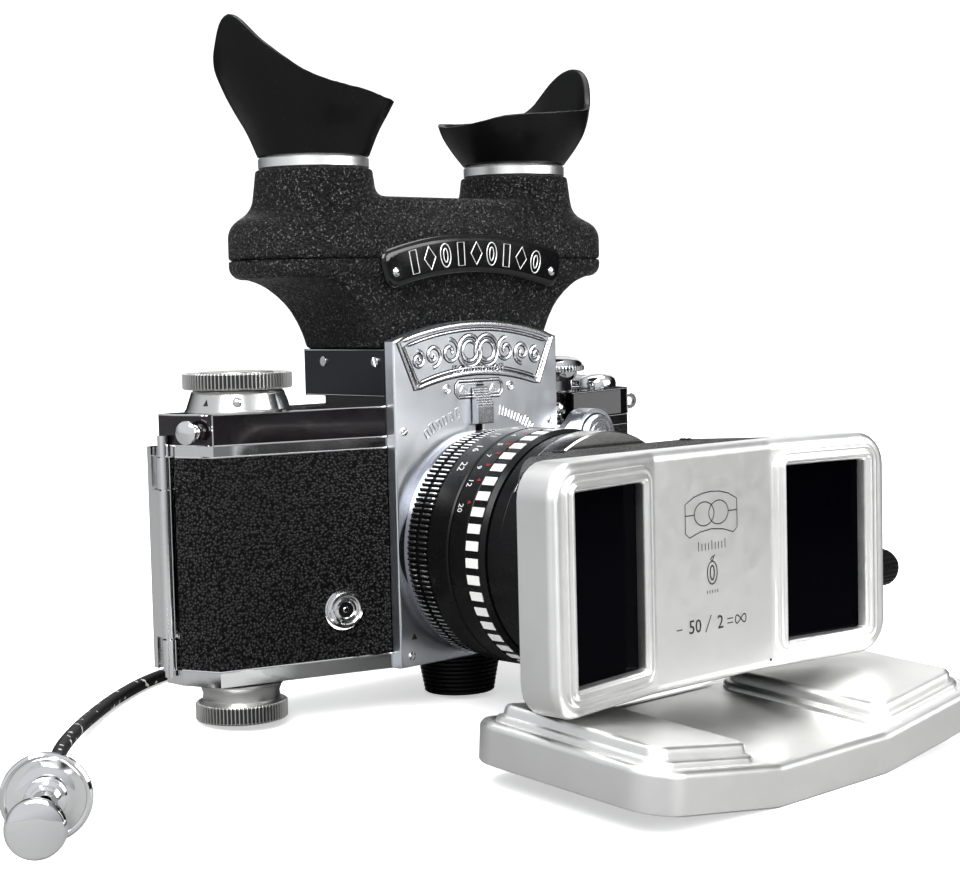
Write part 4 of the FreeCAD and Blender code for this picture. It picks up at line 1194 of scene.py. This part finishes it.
def arc_through(half, low, crown, steps=24):
    """Points of a flat arc from (-half, low) over (0, crown) to (half, low)."""
    rise = crown - low
    radius = (half * half + rise * rise) / (2 * rise)
    start = math.asin(half / radius)
    return [(radius * math.sin(a), crown - radius + radius * math.cos(a))
            for a in [start * (2 * i / steps - 1) for i in range(steps + 1)]]


def plate():
    crown = list(reversed(arc_through(PLATE_HALF, PLATE_SHOULDER, PLATE_CROWN)))
    outline = [(-PLATE_HALF, PLATE_FOOT), (PLATE_HALF, PLATE_FOOT)] + crown
    slot = oblong(1.2, 3.8, 0.3, (0, 31.8), 2)
    return placed(pierced(outline, [circle(20.2, steps=96), slot], -3.1, 0.0, 0.45), FRONT)


def panel_outline(by):
    top = arc_through(26.4 - by * 1.2, 51.0 - by * 0.9, 55.0 - by)
    bottom = arc_through(21.2 - by * 0.6, 39.5 + by, 42.8 + by)
    return bottom + list(reversed(top))


def raised(points, radius, high, loop=True, sides=8, flat=0.8):
    return tube([(x, y, high) for x, y in points], radius, sides, loop, flat)


def name_panel():
    """Raised double border round the panel's field."""
    parts = [raised(panel_outline(0), 0.5, 0.1), raised(panel_outline(1.3), 0.22, 0.1)]
    return placed(merged(*parts), FRONT)


def spiral(x, y, size, turns, side, start):
    points = []
    for i in range(40):
        share = i / 39
        radius = size * (1 - 0.82 * share)
        angle = start + side * share * turns * 2 * math.pi
        points.append((x + radius * math.cos(angle), y + radius * math.sin(angle)))
    return points


def ornament_paths():
    """Scrollwork either side of a pair of lenses, and a row of beads under it."""
    paths = [(circle(r, x, 48.3, 36), 0.36, 0.2, True) for r in (3.9, 2.5) for x in (-2.9, 2.9)]
    for side in (-1, 1):
        for x, size, spin in ((9.6, 3.2, 1), (15.3, 2.9, -1), (20.2, 2.2, 1)):
            y = 48.7 - (x / 24) ** 2 * 3.0
            path = spiral(side * x, y, size, 1.35, side * spin, math.pi / 2 * spin)
            paths.append((path, 0.36, 0.2, False))
    for i in range(9):
        x, y = (i - 4) * 2.0, 43.75
        shape = circle(0.65, x, y, 14) if i % 2 else [(x - 0.5, y - 0.9), (x + 0.5, y - 0.9),
                                                       (x + 0.5, y + 0.9), (x - 0.5, y + 0.9)]
        paths.append((shape, 0.17, 0.12, True))
    return paths


def panel_ornament():
    return placed(merged(*[raised(path, radius, high, loop)
                           for path, radius, high, loop in ornament_paths()]), FRONT)


OCTAGON = [(-8, 37.8), (-7, 36.7), (7, 36.7), (8, 37.8), (8, 39.7), (7, 40.8), (-7, 40.8),
           (-8, 39.7)]


def window_label():
    """Small octagonal frame over the slider between two rings, with marks round the lens."""
    parts = [raised(OCTAGON, 0.26, 0.06), raised(inset(OCTAGON, 0.8), 0.13, 0.05)]
    for x in (-10.9, 10.9):
        parts.append(raised(circle(1.05, x, 39.0, 20), 0.2, 0.06))
        parts.append(raised(circle(0.42, x, 39.0, 14), 0.2, 0.06))
    for x in (-5.4, 4.9):
        parts.append(raised([(x - 1.1, 38.1), (x, 39.6), (x + 1.1, 38.1)], 0.16, 0.06, False))
    for side in (-1, 1):
        for i in range(6):
            angle = side * math.radians(13 + i * 3.9)
            x, y = 33.4 * math.sin(angle), 33.4 * math.cos(angle)
            high = 1.5 if i in (0, 4) else 1.0
            mark = [(-0.55, -1.0), (0.55, -1.0), (0.55, high), (-0.55, high)]
            turned = [(x + a * math.cos(angle) + b * math.sin(angle),
                       y - a * math.sin(angle) + b * math.cos(angle)) for a, b in mark]
            parts.append(raised(turned, 0.17, 0.05))
    return placed(merged(*parts), FRONT)


def plate_dark_marks():
    """Dark half-round window and the small index marks."""
    half = [(1.3 * math.cos(a) + 0.4, 1.3 * math.sin(a) + 39.3) for a in
            [math.pi * i / 14 for i in range(15)]]
    triangle = [(-24.6, -22.2), (-22.8, -22.2), (-23.7, -20.6)]
    parts = [prism(half, -0.2, 0.09, 0.03), prism(triangle, -0.2, 0.06, 0.02)]
    return placed(merged(*parts), FRONT)


def plate_screws():
    spots = ((-25.3, 29.2, 0.5), (25.3, 29.2, 1.7), (-24.6, -26.3, 1.2), (24.6, -26.3, 0.2))
    return placed(merged(*[moved(screw(1.05, 0.32, turn), x, y, -0.04)
                           for x, y, turn in spots]), FRONT)


SIDEWAYS = Matrix(((0, 0, 1, 0), (1, 0, 0, 0), (0, 1, 0, 0), (0, 0, 0, 1)))


def slider():
    """Finder catch: flat grip whose top is cut into steps."""
    profile = [(29.9, 0.3), (39.2, 0.3), (39.2, 0.45)]
    for i in range(8):
        z, h = 39.1 - i * 0.62, 0.6 + i * 0.27
        profile += [(z, h), (z - 0.34, h), (z - 0.48, h - 0.14)]
    profile += [(34.0, 2.5), (30.1, 2.5), (29.9, 2.3)]
    grip = prism(profile, -2.7, 2.7, 0.06, 0.06)
    stem = box(30.6, 33.2, -4.4, 0.4, -0.85, 0.85, 0.1)
    return placed(merged(grip, stem), FRONT @ SIDEWAYS)


def plate_shade():
    """Painted shade: dark outlines beside the raised lines, standing in for the shade their relief casts."""
    parts = [raised(path, radius + 0.24, 0.0, loop, 6, 0.35)
             for path, radius, _, loop in ornament_paths()]
    for outline, radius in ((panel_outline(1.3), 0.22), (panel_outline(-0.1), 0.42)):
        parts.append(raised(outline, radius + 0.3, 0.0, True, 6, 0.3))
    parts.append(raised(OCTAGON, 0.5, 0.0, True, 6, 0.3))
    return placed(merged(*parts), FRONT)


piece("plate", plate(), "camera", "satin_chrome", stands_for=["front_plate"])
piece("plate_border", name_panel(), "camera", "bright_satin")
# Painted shade round the plate's raised lines.
piece("plate_shade", plate_shade(), "camera", "engraving_and_painted_shade")
piece("plate_scrolls", panel_ornament(), "camera", "bright_satin")
piece("plate_label", window_label(), "camera", "bright_satin")
piece("plate_marks", plate_dark_marks(), "camera", "engraving_and_painted_shade")
piece("plate_screws", plate_screws(), "camera", "chrome")
piece("finder_slider", slider(), "finder_catch", "bright_satin",
      stands_for=["finder_catch"], sharp=25)


# ---------------------------------------------------------------- knobs and dials
DIAL, SPEED, REWIND, LEVER = (-60.0, 20.0), (42.0, 17.0), (-61.0, 21.0), (64.0, 19.5)


def knob(profile, at, teeth, depth, stem=None):
    steps, pattern = ribs(teeth, depth)
    part = lathe(profile, steps, pattern)
    if stem:
        part = merged(part, lathe([(0, stem[1]), (stem[0], stem[1]), (stem[0], stem[2]),
                                   (0, stem[2])], 24))
    return moved(part, *at)


def disc(radius, low, high):
    """Plain solid disc about the vertical."""
    return lathe([(0, low), (radius, low), (radius, high), (0, high)], 96)


def slow_dial():
    return knob([(0, 41.15), (12.4, 41.15), (12.8, 41.25, 0.8), (13.0, 41.5, 1), (13.0, 44.75, 1),
                 (12.8, 44.95, 0.8), (12.4, 45.0), (9.2, 45.0), (8.9, 44.85), (8.6, 44.85),
                 (8.5, 45.1), (8.2, 45.25), (5.2, 45.25), (4.9, 45.15), (0, 45.15)],
                DIAL, 84, 0.7, (2.5, 29.5, 41.3))


def dial_cone():
    cone = lathe([(2.55, 35.6), (12.7, 35.6), (12.7, 36.0), (12.3, 36.5), (11.0, 40.4),
                  (10.6, 40.8), (2.55, 40.8)], 120, loop=True)
    ball = lathe([(0, -0.5), (0.9, -0.5), (1.25, 0.0), (1.15, 0.6), (0.7, 1.0), (0, 1.15)], 24)
    out = Vector((-0.60, -0.80, 0.0))
    ball = placed(ball, facing(out * 11.6 + Vector((0, 0, 38.3)), out + Vector((0, 0, 0.3))))
    return moved(merged(cone, ball), *DIAL)


def cone_marks():
    mark = prism([(-0.7, -0.8), (0.7, -0.8), (0, 0.8)], -0.1, 0.05, 0.02)
    parts = []
    for degrees in (-165, -52, -44, -36):
        angle = math.radians(degrees)
        out = Vector((math.cos(angle), math.sin(angle), 0.0))
        lean = (out + Vector((0, 0, 0.33))).normalized()
        parts.append(placed(mark, facing(out * 11.72 + Vector((0, 0, 38.3)), lean)))
    return moved(merged(*parts), *DIAL)


def speed_dial():
    """Milled setting ring under a polished dome that carries the numbers."""
    return knob([(0, 35.95), (6.4, 35.95), (6.4, 38.6), (7.2, 39.2), (8.2, 41.1), (9.4, 41.2),
                 (9.8, 41.5, 1), (9.8, 42.5, 1), (9.4, 42.8), (9.2, 43.4), (8.6, 44.2),
                 (7.4, 44.8), (5.6, 45.1), (3.0, 45.2), (0, 45.2)],
                SPEED, 60, 0.3, (2.5, 29.5, 36.0))


def dial_numbers():
    parts = []
    numbers = ("25", "50", "100", "150", "250", "500", "1000")
    for i, text in enumerate(numbers):
        turn = 2 * math.pi * i / len(numbers)
        part = moved(numerals(text, 1.5, 0.05), 0, 5.6, 45.0)
        parts.append(placed(part, Matrix.Rotation(turn, 4, "Z")))
    return moved(merged(*parts), *SPEED)


def rewind():
    return knob([(0, -38.5), (9.4, -38.5), (10.0, -38.3), (10.7, -38.2, 0.7), (11.0, -37.9, 1),
                 (11.0, -34.3, 1), (10.7, -34.0, 0.7), (10.0, -33.9), (9.3, -33.2), (9.1, -31.8),
                 (9.7, -30.2), (10.2, -29.7), (10.2, -29.35), (0, -29.35)],
                REWIND, 72, 0.65, (3.0, -30.0, -18.5))


def ribbed_foot():
    profile = [(0, -33.3), (3.175, -33.3), (3.175, -39.2), (3.5, -39.5), (8.6, -39.5)]
    count = 9
    for i in range(count):
        z = -39.4 + i * 1.1
        radius = 9.0 + 1.9 * (z + 39.5) / 10.5
        profile += [(radius - 0.45, z), (radius, z + 0.22), (radius + 0.05, z + 0.72),
                    (radius - 0.4, z + 0.95)]
    profile += [(10.85, -29.3), (10.85, -29.0), (3.0, -29.0), (3.0, -25.4), (0, -25.4)]
    return moved(lathe(profile, 96), 0.0, 10.0)


def lug():
    return lathe([(0, 0), (1.8, 0), (1.45, 0.5), (1.35, 1.6), (1.8, 2.4), (2.7, 2.65),
                  (2.9, 2.95), (2.75, 3.3), (2.1, 3.7), (1.1, 3.87), (0, 3.9)], 36)


def lug_at(side):
    return facing((side * 73.1, 19.95, 31.4), (side * 10.1, -3.8, 0))


def eyelet():
    """Flat ring on a tab, its hole facing forwards."""
    ring = lathe([(1.2, -0.45), (1.35, -0.65), (2.0, -0.65), (2.3, -0.35), (2.3, 0.35),
                  (2.0, 0.65), (1.35, 0.65), (1.2, 0.45)], 40, loop=True)
    ring = placed(ring, Matrix.Rotation(math.pi / 2, 4, "Y"))
    tab = box(-0.65, 0.65, -2.25, 2.25, 0.0, 1.9, 0.3)
    return placed(merged(moved(ring, z=3.2), tab), lug_at(1))


PANEL_BACK = 3.1                  # the slanted front panels start this far behind the plate
PANEL_WIDE, PANEL_DEEP = 43.1, 11.8


def on_panel(side, share, height):
    """Place on a slanted front panel: local Z points straight out of it."""
    at = (side * (PLATE_HALF + share * PANEL_WIDE), PANEL_BACK + share * PANEL_DEEP, height)
    return facing(at, (side * PANEL_DEEP, -PANEL_WIDE, 0))


FLASH = on_panel(-1, 0.276, -13.4)
CABLE_SOCKET = on_panel(1, 0.51, -8.0)


def socket_ring(bore):
    return lathe([(bore, -2.8), (3.2, -2.8), (3.2, -0.7), (4.5, -0.7), (4.5, 0.4), (4.2, 0.8),
                  (3.6, 0.9), (3.3, 0.7), (3.15, 0.2), (2.75, 0.1), (2.65, 0.5), (bore + 0.2, 0.6),
                  (bore, 0.4)], 60, loop=True)


def socket_inside():
    ring = lathe([(0.75, -2.4), (1.88, -2.4), (1.88, 0.1), (0.75, 0.1)], 40, loop=True)
    return placed(ring, FLASH)


def socket_pin():
    pin = lathe([(0.3, -2.4), (0.74, -2.4), (0.74, 0.35), (0.6, 0.45), (0.3, 0.45)], 30, loop=True)
    return placed(pin, FLASH)


RELEASE = (36.3, 24.8)


def release_button():
    """Cable button on the lens arm, turned with rings."""
    face = [(0, -1.8), (1.6, -1.8), (1.6, 3.6), (5.5, 3.6), (5.5, 7.5), (5.1, 8.0), (4.3, 8.0),
            (4.1, 7.6), (3.6, 7.6), (3.4, 7.85), (2.8, 7.85), (2.6, 7.5), (2.0, 7.5),
            (1.8, 7.8), (1.2, 7.8), (1.0, 7.5), (0, 7.5)]
    return placed(moved(lathe(face, 72), *RELEASE), FRONT)


def release_disc():
    face = [(0, -12.0), (2.6, -12.0), (2.6, -2.6), (2.3, -2.2), (0, -2.2)]
    return placed(moved(lathe(face, 48), *RELEASE), FRONT)


def release_guard():
    """Guard in the notch beside the plate: a waisted post with a ball, and a domed cap."""
    post = lathe([(0, 28.05), (2.3, 28.05), (2.3, 28.6), (1.5, 29.2), (1.5, 29.8), (2.1, 30.2),
                  (2.35, 31.3), (2.1, 32.4), (1.3, 33.1), (0, 33.35)], 40)
    cap = lathe([(0, 0), (3.0, 0), (3.5, 0.4), (3.5, 1.4), (2.9, 2.1), (1.6, 2.5), (0, 2.6)], 48)
    cap = placed(cap, facing((33.9, 9.6, 33.6), (-0.25, -1, 0.35)))
    return merged(moved(post, 35.0, 7.0), cap)


def wind_hub():
    """Domed hub of the wind lever, its arm and thumb pad."""
    dome = lathe([(0, 29.5), (2.5, 29.5), (2.5, 35.95), (5.2, 35.95), (5.2, 37.2), (4.9, 38.2),
                  (4.1, 39.0), (2.9, 39.4), (2.6, 39.3), (1.2, 39.5), (0, 39.6)], 60)
    pad = lathe([(0, 35.95), (3.0, 35.95), (3.2, 36.3), (3.2, 38.4), (2.8, 39.2), (1.8, 39.7),
                 (0, 39.8)], 40)
    arm = box(-2.5, 2.5, 1.0, 11.0, 37.2, 39.1, 0.6)
    return moved(merged(dome, moved(pad, 0, 11.0), arm), *LEVER)


def end_panel():
    """Plain grey panel let into the front of the right top cover."""
    outline = oblong(13.6, 3.3, 0.3)
    slope = facing((54.2, 10.24, 31.8), (PANEL_DEEP, -PANEL_WIDE, 0))
    return placed(prism(outline, -0.3, 0.1, 0.08), slope)


def trims():
    """Thin bright lines where lacquer, leather and metal meet. On the right they start clear of
    the notch above and of the release arm's button below."""
    parts = []
    for side in (-1, 1):
        corner = [(side * 28.3, 3.15), (side * 71.15, 14.93), (side * 74.95, 25.0),
                  (side * 74.95, 31.2)]
        for z, radius in ((35.45, 0.24), (28.15, 0.22), (25.45, 0.22), (-25.3, 0.25)):
            line = corner if z > 26 else corner[:3]
            if side > 0 and z > 30:
                line = [(40.0, 9.9), (40.05, 6.45)] + corner[1:]
            elif side > 0 and z > 20:
                line = [(44.0, 7.47)] + line[1:]
            parts.append(tube([(x, y, z) for x, y in line], radius, 6))
        x, y = side * 71.2, 14.9
        parts.append(tube([(x, y, 28.2), (x + 0.001, y, 35.4)], 0.2, 6))
    return merged(*parts)


piece("slow_dial_knob", slow_dial(), "slow_dial", "knurl", stands_for=["slow_dial"])
# Painted shade: dark discs inside the knurled grips show between the ribs as shaded valleys.
piece("slow_dial_groove_shade", moved(disc(12.68, 41.6, 44.65), *DIAL), "slow_dial", "engraving_and_painted_shade")
piece("rewind_groove_shade", moved(disc(10.68, -37.8, -34.4), *REWIND), "rewind_knob", "engraving_and_painted_shade")
piece("slow_dial_cone", dial_cone(), "camera", "brushed", stands_for=["slow_dial_base"])
piece("slow_dial_marks", cone_marks(), "camera", "engraving_and_painted_shade")
piece("speed_dial_knob", speed_dial(), "speed_dial", "chrome", stands_for=["speed_dial"])
piece("speed_dial_numbers", dial_numbers(), "speed_dial", "engraving_and_painted_shade")
piece("rewind_grip", rewind(), "rewind_knob", "knurl", stands_for=["rewind_knob"])
piece("round_foot", ribbed_foot(), "camera", "black_metal", stands_for=["support_foot"])
piece("strap_stud", placed(lug(), lug_at(-1)), "camera", "chrome", stands_for=["strap_lugs"])
piece("strap_eyelet", eyelet(), "camera", "chrome")
piece("flash_ring", placed(socket_ring(1.9), FLASH), "camera", "chrome",
      stands_for=["flash_socket"])
piece("flash_insert", socket_inside(), "camera", "black_metal")
piece("flash_pin", socket_pin(), "camera", "chrome")
piece("cable_ring", placed(socket_ring(1.5), CABLE_SOCKET), "camera", "chrome",
      stands_for=["cable_socket"])
piece("wind_lever_hub", wind_hub(), "wind_lever", "chrome", stands_for=["wind_lever"])
piece("guard", release_guard(), "camera", "chrome")
piece("cover_panel", end_panel(), "camera", "panel_grey")
piece("arm_cap", release_button(), "arm_button", "bright_satin", stands_for=["arm_button"])
piece("release_cap", release_disc(), "shutter_release", "chrome", stands_for=["shutter_release"])
piece("edge_lines", trims(), "camera", "chrome")


# ---------------------------------------------------------------- ends of the cable
def along(start, towards):
    """Local Z runs from start towards a point, in the table frame."""
    out = Vector(towards) - Vector(start)
    return MM @ facing(start, out)


CABLE_END = along(ROUTE[-1], Vector(ROUTE[-1]) * 2 - Vector(ROUTE[-2]))
socket_root = MM.inverted() @ BODY @ CABLE_SOCKET @ Vector((0, 0, -2.0))
CABLE_START = along(socket_root, ROUTE[0])
ferrule_reach = (Vector(ROUTE[0]) - socket_root).length - 0.15


def finger_flange():
    """Sleeve, polished finger disc with turned rings, and the nose the plunger runs in."""
    steps, pattern = ribs(28, 0.22)
    sleeve = lathe([(1.45, 0), (2.1, 0), (2.6, 0.5, 1), (2.6, 5.2, 1), (2.2, 5.8), (2.2, 7.4),
                    (2.6, 8.05), (1.45, 8.05)], steps, pattern, loop=True)
    disc = lathe([(1.45, 8.0), (8.3, 8.0), (8.85, 8.25), (9.0, 8.7), (8.85, 9.2), (8.4, 9.55),
                  (7.9, 9.5), (7.6, 9.25), (6.2, 9.3), (5.6, 9.45), (5.2, 9.6), (4.2, 9.65),
                  (4.2, 10.4), (3.9, 11.0), (3.1, 11.3), (2.9, 12.6), (2.5, 13.0), (1.45, 13.0)],
                 96, loop=True)
    return merged(sleeve, disc)


def plunger():
    return lathe([(0, 10.5), (1.1, 10.5), (1.1, 29.8), (1.7, 30.4), (2.6, 31.0), (4.8, 31.2),
                  (5.5, 31.7), (5.8, 32.5), (5.7, 33.4), (5.2, 34.1), (4.0, 34.45), (2.0, 34.6),
                  (0, 34.6)], 72)


def ferrule():
    steps, pattern = ribs(24, 0.25)
    return lathe([(0, 0), (1.4, 0), (1.4, 3.2), (2.7, 3.2), (3.0, 3.5, 1), (3.0, 6.6, 1),
                  (2.7, 7.0), (2.2, 7.1), (2.2, ferrule_reach - 0.5), (1.9, ferrule_reach),
                  (0, ferrule_reach)], steps, pattern)


piece("cable_flange_piece", finger_flange(), "camera", "chrome", stands_for=["cable_flange"],
      stand=CABLE_END)
piece("cable_plunger_piece", plunger(), "plunger", "chrome", stands_for=["cable_plunger"],
      stand=CABLE_END)
piece("cable_ferrule_piece", ferrule(), "camera", "chrome", stands_for=["cable_ferrule"],
      stand=CABLE_START)


# ---------------------------------------------------------------- painted highlights on the aperture ring's ribs
def rib_highlights():
    """Painted highlights: bright metal strips along the tops of the aperture ring's ribs, standing in for the
    light they catch.
    """
    parts = []
    for low, high in ((3.9, 6.5), (7.8, 10.5)):
        wear_and_highlight = prism(oblong(0.2, (high - low) / 2, 0.08, steps=1), -0.08, 0.03, 0.02)
        parts += [on_barrel(wear_and_highlight, RIB_R, (low + high) / 2,
                            math.pi / 2 - 2 * math.pi * (i + 0.125) / RIBS)
                  for i in range(RIBS)]
    return merged(*parts)


# Painted highlights on the aperture ring's ribs.
piece("aperture_rib_highlights", rib_highlights(), "aperture_ring", "rib_highlight_metal")
